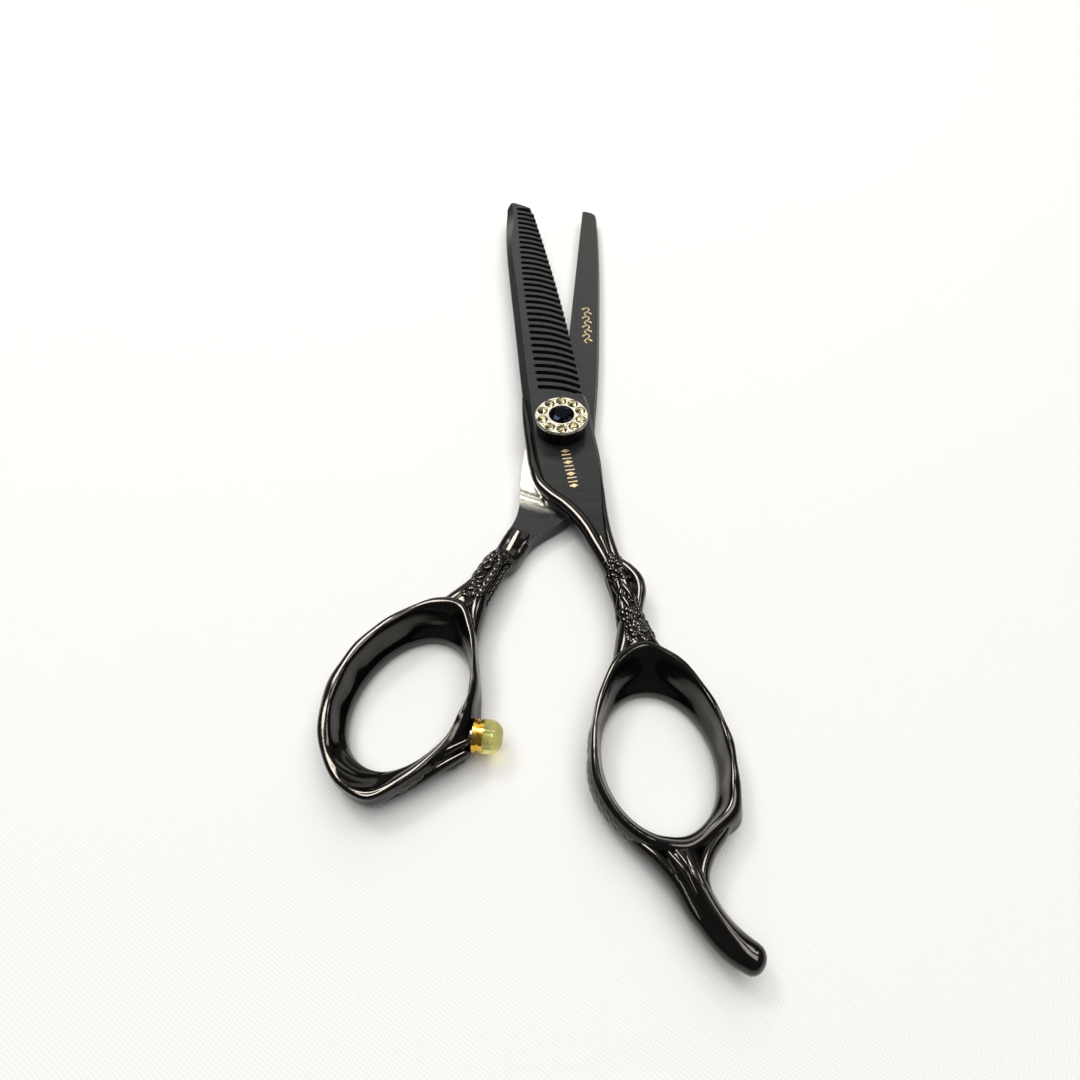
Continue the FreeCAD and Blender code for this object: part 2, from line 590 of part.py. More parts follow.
def brilliant(radius, girdle_z, crown, table_share, pavilion, sides, turn=0.0):
    """A cut stone: a table, star and kite facets on the crown, a girdle and a blunt pavilion."""
    def loop(r, z, phase):
        return [v(r * math.cos(turn + 2 * math.pi * (k + phase) / sides),
                  r * math.sin(turn + 2 * math.pi * (k + phase) / sides), z) for k in range(sides)]

    table = loop(radius * table_share, girdle_z + crown, 0.5)
    waist = loop(radius * (table_share + 1.05) / 2, girdle_z + crown * 0.52, 0.0)
    top = loop(radius, girdle_z, 0.5)
    low = loop(radius, girdle_z - GIRDLE, 0.5)
    foot = loop(radius * 0.42, girdle_z - pavilion, 0.5)
    faces = [Part.Face(Part.makePolygon(table + table[:1])), Part.Face(Part.makePolygon(foot + foot[:1]))]

    def tri(*points):
        faces.append(Part.Face(Part.makePolygon(list(points) + [points[0]])))

    for k in range(sides):
        n, p = (k + 1) % sides, (k - 1) % sides
        tri(table[p], table[k], waist[k])
        tri(waist[k], waist[n], table[k])
        tri(waist[k], waist[n], top[k])
        tri(top[p], top[k], waist[k])
        tri(top[k], top[n], low[n], low[k])
        tri(low[k], low[n], foot[n], foot[k])
    return Part.Solid(Part.Shell(faces))


def centre_stone():
    """The black stone in the middle of the dial."""
    return brilliant(CENTRE_STONE_R, BEZEL_Z1 + 0.02, 0.5, 0.56, 0.6, 12, math.radians(8))


def crystal(x, y):
    """One small stone of the dial's ring."""
    stone = brilliant(STONE_R, BEZEL_Z1 - 0.06, 0.34, 0.52, STONE_SEAT_DEPTH - 0.07, 8)
    stone.translate(v(x, y, 0))
    return stone


# ---------------------------------------------------------------- the bumper
def bumper_stud():
    """The threaded stem of the bumper, screwed into the thumb ring."""
    root, along = bumper_axis()
    length = STUD_IN_RING + COLLAR_LENGTH + STUD_IN_CAP
    return Part.makeCylinder(STUD_R, length, root - along * STUD_IN_RING, along)


def bumper_collar():
    """The gilt collar between the ring and the bumper's cap."""
    root, along = bumper_axis()
    foot = Part.makeCylinder(BUMPER_R, COLLAR_LENGTH * 0.35, root, along)
    waist = Part.makeCylinder(BUMPER_R * 0.9, COLLAR_LENGTH * 0.3, root + along * COLLAR_LENGTH * 0.35, along)
    rim = Part.makeCylinder(BUMPER_R, COLLAR_LENGTH * 0.35, root + along * COLLAR_LENGTH * 0.65, along)
    bore = Part.makeCylinder(STUD_R, COLLAR_LENGTH + 2, root - along, along)
    return foot.fuse([waist, rim]).cut(bore)


def bumper_cap():
    """The clear yellow cap that meets the other ring as the shears close."""
    root, along = bumper_axis()
    start = root + along * COLLAR_LENGTH
    length = BUMPER_LENGTH - COLLAR_LENGTH
    body = Part.makeCylinder(BUMPER_R, length, start, along)
    far = [e for e in body.Edges if e.Closed and (e.CenterOfMass - start).dot(along) > length * 0.9]
    body = body.makeFillet(min(BUMPER_R * 0.8, length * 0.8), far)
    return body.cut(Part.makeCylinder(STUD_R, STUD_IN_CAP, start, along))


def main():
    """Builds and writes every node."""
    os.makedirs("parts", exist_ok=True)
    comb = save("comb_blade", comb_blade())
    straight = save("straight_blade", straight_blade())
    save("finger_handle", finger_handle(comb))
    save("thumb_handle", thumb_handle(straight))
    save("pivot_screw", pivot_screw())
    save("pivot_bush", pivot_bush())
    save("thrust_washer", washer(WASHER_R, SHOULDER_R + 0.05, LOWER_Z1 - WASHER_THICK,
                                 WASHER_THICK + HALF_GAP - WASHER_GAP))
    save("slide_washer", washer(DIAL_POCKET_R - BODY_GAP, THREAD_R + 0.45, SLIDE_Z0, SLIDE_THICK))
    save("tension_spring", tension_spring())
    save("click_plate", click_plate())
    save("dial_body", dial_body())
    save("dial_bezel", dial_bezel())
    save("centre_stone", centre_stone())
    for number, x, y in stone_places():
        save(f"crystal_{number:02d}", crystal(x, y))
    save("bumper_stud", bumper_stud())
    save("bumper_collar", bumper_collar())
    save("bumper_cap", bumper_cap())


main()
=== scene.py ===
"""Finishing for a pair of thinning shears: cast handles, etched marks, dial setting and every surface finish.

The frame holds the forged blades, the pivot, the dial and the bumper at their real size. This add-on gives
them their finishes and replaces the two plain handles with sculpted ones. Lengths in the functions below
are in millimetres, on the frame's axes, and become metres when a mesh is made.
"""

import math

import bpy
import numpy as np
from bpy.props import FloatProperty, FloatVectorProperty, IntProperty, PointerProperty
from bpy.types import Operator, Panel, PropertyGroup
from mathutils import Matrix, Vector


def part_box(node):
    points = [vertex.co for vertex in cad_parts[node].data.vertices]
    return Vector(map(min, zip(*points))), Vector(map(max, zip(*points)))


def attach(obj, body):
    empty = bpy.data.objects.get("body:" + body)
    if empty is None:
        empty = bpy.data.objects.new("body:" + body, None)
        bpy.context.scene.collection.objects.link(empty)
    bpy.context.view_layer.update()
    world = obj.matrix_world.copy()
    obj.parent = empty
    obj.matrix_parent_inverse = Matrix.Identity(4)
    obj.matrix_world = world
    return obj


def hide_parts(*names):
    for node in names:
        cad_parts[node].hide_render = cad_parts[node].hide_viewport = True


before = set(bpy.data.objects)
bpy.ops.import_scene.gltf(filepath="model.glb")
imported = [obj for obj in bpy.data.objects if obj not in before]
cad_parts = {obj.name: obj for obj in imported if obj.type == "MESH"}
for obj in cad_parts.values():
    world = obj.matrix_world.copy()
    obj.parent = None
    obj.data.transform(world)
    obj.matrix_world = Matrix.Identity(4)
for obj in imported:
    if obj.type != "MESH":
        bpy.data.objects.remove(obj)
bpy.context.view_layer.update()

bl_info = {
    "name": "Thinning Shears",
    "version": (1, 0, 0),
    "blender": (4, 5, 0),
    "location": "3D View > Sidebar > Shears",
    "description": "Cast handles, etched marks and finishes for a pair of thinning shears",
    "category": "Object",
}

MM = 0.001
UP = np.array([0.0, 0.0, 1.0])


def linear(code):
    """An sRGB hex colour as linear red, green and blue."""
    s = np.array([int(code[i:i + 2], 16) / 255 for i in (1, 3, 5)])
    return tuple(np.where(s <= 0.04045, s / 12.92, ((s + 0.055) / 1.055) ** 2.4))


def node_box(name):
    """A frame node's lowest and highest corners, in millimetres."""
    return np.array(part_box(name)) / MM


# ---- places taken from the frame
RING_TOP = node_box("finger_handle")[1, 2]
LOWER_FACE = node_box("straight_blade")[1, 2]
STONES = [f"crystal_{i:02d}" for i in range(1, 11)]


# ---- sizes and colours a user would change
def length(name, description, millimetres):
    """A length property with a default in millimetres."""
    return FloatProperty(name=name, description=description, default=millimetres * MM,
                         unit="LENGTH", precision=5)


class ShearsSizes(PropertyGroup):
    """Sizes of the sculpted work."""

    crest_round: length("Crest rounding", "How blunt the crest of a ring is", 0.8)
    scale_pitch: length("Scale pitch", "Spacing of the scales cast on the rings' sides", 1.6)
    scale_height: length("Scale height", "How far the scales stand out", 0.45)
    strand_radius: length("Strand radius", "Radius of the vine strands on the shanks", 0.55)
    bead_radius: length("Bead radius", "Radius of the beads cast on the shanks", 0.5)
    mark_width: length("Mark width", "Line width of the etched marks", 0.24)
    prong_radius: length("Prong radius", "Radius of the grains that hold the dial's stones", 0.2)
    ring_steps: IntProperty(name="Ring steps", description="Grid rows round each ring", default=400, min=60)


def colour(name, description, code):
    """A colour property with a hex default."""
    return FloatVectorProperty(name=name, description=description, subtype="COLOR", size=3,
                               min=0, max=1, default=linear(code))


class ShearsColours(PropertyGroup):
    """Colours of the finishes."""

    blade: colour("Blade coating", "Satin coating on the blades", "#272929")
    lacquer: colour("Handle lacquer", "Glossy black coating on the handles", "#060606")
    # cream tint of the polished ride: partly the steel, partly a painted reflection of the warm light it
    # mirrors
    ride: colour("Polished steel", "Bare steel of the ride", "#f6f1e4")
    mark: colour("Etched marks", "Gold-coloured etching", "#cdb48c")
    gilt: colour("Gilt", "Gilt of the bumper's collar", "#e8b948")
    cap: colour("Bumper cap", "Clear yellow of the bumper's cap", "#fdf29a")
    bezel: colour("Bezel", "Bright plate of the dial's face", "#f2ecdb")
    stone: colour("Stones", "Pale stones of the dial", "#c2b486")
    centre: colour("Centre stone", "Black stone of the dial", "#030406")
    floor: colour("Floor", "Pale cloth underneath", "#f3f2f0")


# ---- curves and surfaces
CAP_STEPS = 5          # rings of points in the dome that ends a bar
SCALE_RADIUS = 0.62    # a scale's radius as a share of the pitch, so that neighbours overlap
SHARP_ANGLE = 60.0     # degrees from which an edge is shaded sharp
SMALL = 1e-9           # keeps a division safe


def through(points, count, closed=False):
    """Places on one smooth curve through the given rows.

    Between two rows it is the cubic whose end slopes are the two chords' slopes at that row, each
    weighted by the length of the other chord. Columns after the third are carried along.
    """
    p = np.asarray(points, float)
    if closed:
        p = np.vstack([p[-1:], p, p[:2]])
    gap = np.linalg.norm(np.diff(p[:, :3], axis=0), axis=1)
    slope = np.diff(p, axis=0) / gap[:, None]
    share = (gap[:-1] / (gap[:-1] + gap[1:]))[:, None]
    inner = slope[:-1] * (1 - share) + slope[1:] * share
    m = np.vstack([slope[:1], inner, slope[-1:]])
    at = np.concatenate([[0], np.cumsum(gap)])
    low, high = (at[1], at[-2]) if closed else (at[0], at[-1])
    where = np.linspace(low, high, count, endpoint=not closed)
    k = np.clip(np.searchsorted(at, where, side="right") - 1, 0, len(gap) - 1)
    h = gap[k][:, None]
    s = ((where - at[k]) / gap[k])[:, None]
    return ((1 + 2 * s) * (1 - s) ** 2 * p[k] + s * (1 - s) ** 2 * h * m[k]
            + s ** 2 * (3 - 2 * s) * p[k + 1] + s ** 2 * (s - 1) * h * m[k + 1])


def drawn_section(corners, count):
    """Closed sections pulled towards their corners: the uniform cubic B-spline of K corner rows.

    corners has the shape (K, places, 2), and the result (count, places, 2). A corner given twice
    makes a tighter bend.
    """
    k = len(corners)
    s = np.arange(count) * k / count
    i = s.astype(int)
    f = (s - i)[:, None, None]
    a, b, c, d = (corners[(i + j) % k] for j in (-1, 0, 1, 2))
    return ((1 - f) ** 3 * a + (3 * f ** 3 - 6 * f ** 2 + 4) * b
            + (-3 * f ** 3 + 3 * f ** 2 + 3 * f + 1) * c + f ** 3 * d) / 6


def normals(grid):
    """Unit normals of a grid that closes on itself both ways: the cross product of its two slopes."""
    across = np.roll(grid, -1, 1) - np.roll(grid, 1, 1)
    along = np.roll(grid, -1, 0) - np.roll(grid, 1, 0)
    n = np.cross(along, across)
    return n / np.maximum(np.linalg.norm(n, axis=2, keepdims=True), SMALL)


def quads(rows, columns, loop_rows):
    """Corner numbers of the faces over a grid whose columns close on themselves."""
    i = np.arange(rows if loop_rows else rows - 1)[:, None]
    j = np.arange(columns)[None, :]
    following, beside = (i + 1) % rows, (j + 1) % columns
    corners = [i * columns + j, i * columns + beside, following * columns + beside, following * columns + j]
    return np.stack([c.ravel() for c in np.broadcast_arrays(*corners)], 1)


def volume(points, faces):
    """Signed volume inside a closed shell of faces, fanned from each face's first corner."""
    first, *rest = (points[corner] for corner in faces.T)
    return sum(np.einsum("ij,ij->", first, np.cross(b, c)) for b, c in zip(rest, rest[1:])) / 6


def outward(points, faces, fans=None):
    """The shell with its faces turned outwards."""
    total = volume(points, faces) + (volume(points, fans) if fans is not None else 0)
    if total < 0:
        faces = faces[:, ::-1]
        fans = fans[:, ::-1] if fans is not None else None
    return points, faces, fans


def hoop(grid):
    """A shell that closes on itself both ways."""
    rows, columns, _ = grid.shape
    return outward(grid.reshape(-1, 3), quads(rows, columns, True))


def sausage(grid, first, last):
    """A shell of rings with a pole at each end."""
    rows, columns, _ = grid.shape
    points = np.vstack([grid.reshape(-1, 3), first, last])
    j = np.arange(columns)
    beside = (j + 1) % columns
    pole_a, pole_b = rows * columns, rows * columns + 1
    start = np.stack([np.full(columns, pole_a), beside, j], 1)
    end = np.stack([np.full(columns, pole_b), j + pole_b - 1 - columns, beside + pole_b - 1 - columns], 1)
    return outward(points, quads(rows, columns, False), np.vstack([start, end]))


def directions(path):
    """Unit vectors ahead, to the right and upwards, along a path that is never upright."""
    ahead = np.gradient(path, axis=0)
    ahead /= np.linalg.norm(ahead, axis=1, keepdims=True)
    right = np.cross(ahead, UP)
    right /= np.linalg.norm(right, axis=1, keepdims=True)
    return ahead, right, np.cross(right, ahead)


def tube(rows, sides=32, power=2.0, relief=None, ends=(1.0, 1.0)):
    """A closed bar along a path, from rows of x, y, z, width and height.

    Square to the path it is a superellipse, |x/a|^n + |y/b|^n = 1, its ends are domes whose
    lengths are shares of the half width, and relief is a height added outwards, as a function of the
    distance along and the angle round.
    """
    path, width, height = rows[:, :3], rows[:, 3:4] / 2, rows[:, 4:5] / 2
    ahead, right, up = directions(path)
    angle = np.linspace(0, 2 * np.pi, sides, endpoint=False)[None, :]
    c, s = np.cos(angle), np.sin(angle)
    reach = (np.abs(c) ** power + np.abs(s) ** power) ** (-1 / power)
    x, y = width * c * reach, height * s * reach
    if relief is not None:
        along = np.concatenate([[0], np.cumsum(np.linalg.norm(np.diff(path, axis=0), axis=1))])[:, None]
        gain = relief(along, angle) / np.maximum(np.hypot(x, y), SMALL)
        x, y = x * (1 + gain), y * (1 + gain)
    grid = path[:, None] + x[..., None] * right[:, None] + y[..., None] * up[:, None]
    turn = np.linspace(0, np.pi / 2, CAP_STEPS + 1)[1:-1][:, None, None]
    caps, poles = [], []
    for end, sign, share in ((0, -1, ends[0]), (-1, 1, ends[1])):
        bulge = sign * share * ahead[end] * min(width[end, 0], height[end, 0])
        caps.append(path[end] + bulge * np.sin(turn) + (grid[end] - path[end])[None] * np.cos(turn))
        poles.append(path[end] + bulge)
    return sausage(np.vstack([caps[0][::-1], grid, caps[1]]), *poles)


def pebbles(centres, lengths, widths, heights, ahead, rows=7, columns=12):
    """Flattened balls: each is a unit sphere stretched along its own three directions."""
    centres, ahead = np.atleast_2d(centres), np.atleast_2d(ahead)
    ahead = ahead / np.linalg.norm(ahead, axis=1, keepdims=True)
    right = np.cross(ahead, UP)
    right /= np.linalg.norm(right, axis=1, keepdims=True)
    up = np.cross(right, ahead)
    lat = np.linspace(-np.pi / 2, np.pi / 2, rows + 2)[1:-1][:, None]
    lon = np.linspace(0, 2 * np.pi, columns, endpoint=False)[None, :]
    along, side, top = np.sin(lat) + 0 * lon, np.cos(lat) * np.cos(lon), np.cos(lat) * np.sin(lon)
    size = [np.broadcast_to(np.asarray(v, float), len(centres)) for v in (lengths, widths, heights)]
    shells = []
    for c, a, r, u, l, w, h in zip(centres, ahead, right, up, *size):
        grid = c + along[..., None] * a * l + side[..., None] * r * w + top[..., None] * u * h
        shells.append(sausage(grid, c - a * l, c + a * l))
    return shells


def domes(u, v):
    """Rows of round scales, each row half a step along from the last: heights from 0 to 1."""

    def lattice(a, b):
        p, q = (a % 1 - 0.5) / SCALE_RADIUS, (b % 1 - 0.5) / SCALE_RADIUS
        return np.sqrt(np.clip(1 - p ** 2 - q ** 2, 0, 1))

    return np.maximum(lattice(u, v), lattice(u + 0.5, v + 0.5))


def window(x, low, high, edge):
    """1 between two values, falling smoothly to 0 over an edge on either side."""
    rise = np.clip((x - low) / edge + 0.5, 0, 1)
    fall = np.clip((high - x) / edge + 0.5, 0, 1)
    both = np.minimum(rise, fall)
    return both * both * (3 - 2 * both)


def place(name, data):
    """A new object in the scene, holding a mesh, a lamp or a camera."""
    made = bpy.data.objects.new(name, data)
    bpy.context.scene.collection.objects.link(made)
    return made


def mesh_object(name, points, faces, material):
    """A new object of faces, from points in millimetres and a material's name."""
    mesh = bpy.data.meshes.new(name)
    mesh.from_pydata((np.asarray(points) * MM).tolist(), [], faces)
    mesh.materials.append(bpy.data.materials[material])
    return place(name, mesh)


def make_piece(name, shells, material, body, replaces=()):
    """One object from closed shells, on its body, with its finish."""
    points, faces, count = [], [], 0
    for p, f, fans in shells:
        points.append(p)
        faces += (f + count).tolist()
        if fans is not None:
            faces += (fans + count).tolist()
        count += len(p)
    piece = mesh_object(name, np.vstack(points), faces, material)
    piece.data.polygons.foreach_set("use_smooth", np.ones(len(faces), bool))
    piece.data.set_sharp_from_angle(angle=math.radians(SHARP_ANGLE))
    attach(piece, body)
    if replaces:
        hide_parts(*replaces)


# ---- rings
CREST_LIFT = 0.12      # a drawn section stays about this far inside its corners
SECTION_STEPS = 136    # points round a section
MIDDLE_RADIUS = 12.0   # of a ring's side, which turns bearings into lengths
CREASE_DEPTH = 0.13
SMOOTHING = 12         # degrees on either hand over which a value given by bearing is averaged
SCALE_BAND = (0.2, 0.86, 0.14)    # levels of the scales as shares of the side's height, and their fading
RIPPLE_BAND = (4.2, 20.0, 1.6)    # levels of the slow ripple in millimetres, and its fading
# A ring has its edge in plan and its hole, as a middle, two half lengths and the tilt of the long axis. By
# bearing from the hole's middle it has the crest's place, as a share of the wall from the edge, the heights
# of the crest and of the lip, as shares of the ring's, and the stretches where scales and creases are cast.
THUMB = {
    "edge": [
        (-15.6, -38.3), (-20.0, -37.8), (-27.0, -41.2), (-33.3, -46.8), (-36.1, -54.8),
        (-35.0, -61.0), (-31.1, -66.9), (-27.3, -68.9), (-23.3, -67.2), (-19.0, -64.5),
        (-14.7, -62.2), (-12.9, -59.0), (-12.6, -54.5), (-13.2, -48.0), (-14.1, -42.0),
    ],
    "hole": ((-23.3, -53.4), 11.2, 8.0, 64.0),
    "crest": [(-105, 0.14), (-80, 0.34), (-50, 0.7), (-25, 0.8), (5, 0.6), (40, 0.42), (70, 0.2),
              (100, 0.24), (140, 0.38), (180, 0.44), (-150, 0.3), (-125, 0.16)],
    "height": [(-105, 0.76), (-60, 0.8), (-25, 0.92), (30, 1.0), (110, 1.0), (170, 0.93), (-140, 0.8)],
    "lip": [(-105, 0.56), (-70, 0.62), (-30, 0.56), (20, 0.45), (90, 0.34), (150, 0.36), (-160, 0.42),
            (-130, 0.56)],
    "scales": [(-88.0, -30.0)],
    "creased": [(-142.0, -92.0)],
}
FINGER = {
    "edge": [
        (11.5, -45.3), (15.8, -47.5), (20.4, -53.4), (22.9, -60.5), (23.3, -67.4),
        (23.0, -70.9), (19.8, -73.3), (15.6, -76.0), (10.2, -74.7), (5.6, -71.2),
        (3.1, -66.9), (3.0, -60.0), (4.6, -53.0), (7.9, -47.3),
    ],
    "hole": ((12.8, -62.4), 10.6, 8.0, 98.0),
    "crest": [(90, 0.13), (55, 0.22), (20, 0.42), (-15, 0.45), (-38, 0.5), (-60, 0.6), (-95, 0.5),
              (-130, 0.44), (180, 0.42), (140, 0.34), (115, 0.2)],
    "height": [(90, 1.0), (20, 0.97), (-30, 0.85), (-60, 0.78), (-100, 0.76), (-140, 0.84), (180, 0.94)],
    "lip": [(90, 0.33), (30, 0.38), (-20, 0.45), (-60, 0.62), (-100, 0.64), (-150, 0.52), (180, 0.44),
            (130, 0.36)],
    "scales": [(158.0, 180.0), (-180.0, -98.0)],
    "creased": [],
}


def round_radii(edge, hole, angle):
    """Distances from a hole's middle to the ring's edge and to the hole's edge, at each angle.

    The hole is an ellipse, r = 1 / sqrt((cos t / a)^2 + (sin t / b)^2) with t from its long axis.
    """
    middle, long_half, short_half, tilt = hole
    plan = through(edge, 1440, closed=True) - np.array(middle)
    bearing = np.arctan2(plan[:, 1], plan[:, 0])
    order = np.argsort(bearing)
    outer = np.interp(angle, bearing[order], np.hypot(*plan.T)[order], period=2 * np.pi)
    turn = angle - math.radians(tilt)
    inner = 1 / np.sqrt((np.cos(turn) / long_half) ** 2 + (np.sin(turn) / short_half) ** 2)
    return outer, inner


def eased(pairs, degrees):
    """Values at bearings in degrees: straight lines between the pairs, averaged over the smoothing."""
    at, value = np.array(sorted(pairs)).T
    spread = np.linspace(-SMOOTHING, SMOOTHING, 2 * SMOOTHING + 1)[:, None]
    return np.interp(degrees[None, :] + spread, at, value, period=360).mean(0)


def ring_shell(ring, sizes):
    """A ring carried round its hole as one closed section.

    Each section is pulled towards corners set by the edge's and the hole's radii: an outer side that
    widens upwards and rounds over to a crest, a hollow that falls to the lip of the hole, an upright
    band, and a narrow foot. Scales and a slow ripple are then added square to the surface.
    """
    angle = np.linspace(-np.pi, np.pi, sizes.ring_steps, endpoint=False)
    degrees = np.degrees(angle)
    outer, inner = round_radii(ring["edge"], ring["hole"], angle)
    wall = outer - inner
    share = eased(ring["crest"], degrees)
    top = RING_TOP + CREST_LIFT
    high, lip = top * eased(ring["height"], degrees), top * eased(ring["lip"], degrees)
    crest = outer - share * wall
    dish, shoulder = crest - inner, outer - crest
    floor_z = 0 * outer
    blunt = np.minimum(sizes.crest_round / MM, 0.45 * np.minimum(shoulder, dish) + 0.3)
    bank = np.minimum(blunt, 0.32 * dish)
    fall = window(share, 0.5, 2.0, 0.3)   # 1 where the crest stands well in from the edge
    drop = high - lip
    corners = np.array([
        # the outer side, from the foot up
        (outer - 1.5, floor_z), (outer - 0.8, 0.15 * high), (outer - 0.12, (0.42 - 0.1 * fall) * high),
        (outer + 0.1, (0.66 - 0.26 * fall) * high), (outer - 0.22 * shoulder, (0.86 - 0.3 * fall) * high),
        # over the crest
        (crest + blunt + 0.25 * shoulder * fall, (0.99 - 0.08 * fall) * high), (crest, high + CREST_LIFT),
        (crest - bank, high - 0.02 * drop),
        # down the hollow to the lip
        (crest - 0.45 * dish, high - 0.48 * drop), (inner + 0.36 * dish, lip + 0.2 * drop),
        (inner + 0.12 * dish, lip + 0.02 * drop),
        # the hole's upright band, and the foot
        (inner, lip * 0.84), (inner, lip * 0.4), (inner + 0.3, 0.25 + floor_z),
        (inner + 0.9, floor_z), (inner + 0.5 * wall, floor_z), (outer - 2.0, floor_z),
    ]).transpose(0, 2, 1)
    section = drawn_section(corners, SECTION_STEPS)
    r, height = section[..., 0].T, section[..., 1].T
    middle = np.array(ring["hole"][0])
    grid = np.stack([middle[0] + r * np.cos(angle)[:, None],
                     middle[1] + r * np.sin(angle)[:, None], height], 2)
    pitch = sizes.scale_pitch / MM
    along = angle[:, None] * MIDDLE_RADIUS / pitch
    up = height / pitch + 0.25
    side = window(height / high[:, None], *SCALE_BAND) * (r > (crest + 0.55 * shoulder)[:, None])
    zone = sum(window(degrees, a, b, 14.0) for a, b in ring["scales"])[:, None]
    relief = sizes.scale_height / MM * (domes(along + 0.35 * up, up) - 0.45) * side * zone
    wave = 0.1 * np.sin(5 * angle + 1.3) * np.sin(2 * angle) + 0.07 * np.sin(11 * angle)
    creased = sum((window(degrees, a, b, 20.0) for a, b in ring["creased"]), 0 * degrees)[:, None]
    crease = np.cos(9 * angle[:, None] + 2.6 * (r - inner[:, None])) * creased
    inside = window(r, inner[:, None] + 0.5, crest[:, None] - 0.3, 0.5) * (height > 0.5 * lip[:, None])
    upper = window(height, *RIPPLE_BAND) * (1 - zone)
    relief = relief + wave[:, None] * upper + CREASE_DEPTH * crease * inside
    n = normals(grid)
    outer_side = r > crest[:, None]
    facing = np.sign(((n[..., :2] * (grid[..., :2] - middle)).sum(2) * outer_side).sum())
    return hoop(grid + n * facing * relief[..., None])


# ---- finishes
# between these radii the light and dark arcs of the ride are painted highlights and painted shade
RIDE_ARCS = (12.0, 20.0)     # radii, in millimetres, between which the ride's grinding runs out in arcs
RIDE_EDGE = (-2.5, -1.5)     # levels along Y between which the polish fades out, beside the pivot
RIDE_DEPTH = (0.8, 0.7)      # and under the face, so that only the face is polished


def link(tree, node, sources):
    """Brings sources to a node's inputs: each is a socket, or a node for its first output."""
    for key, source in sources.items():
        tree.links.new(source.outputs[0] if hasattr(source, "outputs") else source, node.inputs[key])


def add(tree, kind, settings=None, links=None):
    """A node: settings go to its inputs or its properties, and links bring sources to its inputs."""
    made = tree.nodes.new("ShaderNode" + kind)
    for key, value in (settings or {}).items():
        if isinstance(key, int) or key in made.inputs:
            made.inputs[key].default_value = value
        else:
            setattr(made, key, value)
    link(tree, made, links or {})
    return made


def finish(name, settings):
    """A new material with its shader, whose constants are set on its own sockets."""
    material = bpy.data.materials.new(name)
    material.use_nodes = True
    shader = material.node_tree.nodes["Principled BSDF"]
    for key, value in settings.items():
        shader.inputs[key].default_value = value
    return material, material.node_tree, shader


def shade(rgb, gain=1.0):
    """A colour made lighter or darker, as four numbers."""
    return (*(min(1.0, v * gain) for v in rgb), 1.0)


def patches(tree, size, stretch=(1, 1, 1), detail=3.0, turn=(0, 0, 0)):
    """Cloudy patches of one size, in metres, laid on the object's own coordinates."""
    where = add(tree, "TexCoord")
    laid = add(tree, "Mapping", {"Scale": stretch, "Rotation": turn}, {"Vector": where.outputs["Object"]})
    cloud = add(tree, "TexNoise", {"Scale": 1 / size, "Detail": detail}, {"Vector": laid})
    return cloud.outputs["Fac"]


def wear_in(tree, shader, pattern, stops, gloss, depth=0.0):
    """Lets a pattern drive the colour through its stops, the roughness between two values, and a relief."""
    band = add(tree, "ValToRGB", None, {"Fac": pattern})
    ends = band.color_ramp.elements
    ends[0].position, ends[0].color = stops[0]
    ends[1].position, ends[1].color = stops[-1]
    for position, tint in stops[1:-1]:
        ends.new(position).color = tint
    dull = add(tree, "MapRange", {"From Min": 0.3, "From Max": 0.7, "To Min": gloss[0], "To Max": gloss[1]},
               {"Value": pattern})
    link(tree, shader, {"Base Color": band, "Roughness": dull})
    if depth:
        link(tree, shader, {"Normal": add(tree, "Bump", {"Distance": depth}, {"Height": pattern})})
    return band


def rubbed_edges(tree, radius, low, high):
    """1 on sharp edges and 0 on faces: how far a softened normal leans from the true one."""
    soft = add(tree, "Bevel", {"Radius": radius, "samples": 4})
    true = add(tree, "NewGeometry")
    lean = add(tree, "VectorMath", {"operation": "DOT_PRODUCT"}, {0: soft, 1: true.outputs["Normal"]})
    return add(tree, "MapRange", {"From Min": low, "From Max": high, "To Min": 1.0, "To Max": 0.0},
               {"Value": lean.outputs["Value"]})


def lighter(tree, shader, share, before, tint):
    """Mixes a second colour over the shader's colour by a share."""
    mix = add(tree, "Mix", {"data_type": "RGBA", 7: tint}, {0: share, 6: before})
    link(tree, shader, {"Base Color": mix.outputs[2]})


def coated_blade(colours, name="coated_blade_steel"):
    """Forged stainless steel, ground along X and coated satin charcoal.

    The eye sees a nearly even dark grey with fine lines across the blade from the grinding wheel, and a
    thin lighter line where an edge is rubbed.
    """
    material, tree, shader = finish(name, {"Metallic": 0.3, "Specular IOR Level": 0.36})
    # wheel marks are about 0.1 mm apart, drawn at 0.4 mm so that they show
    lines = patches(tree, 0.4 * MM, (0.1, 1, 0.3), 4.0)
    stops = [(0.3, shade(colours.blade, 0.86)), (0.5, shade(colours.blade)),
             (0.72, shade(colours.blade, 1.16))]
    tint = wear_in(tree, shader, lines, stops, (0.2, 0.27), 0.001 * MM)
    lighter(tree, shader, rubbed_edges(tree, 0.1 * MM, 0.72, 0.96), tint, shade(linear("#77777a")))
    return material


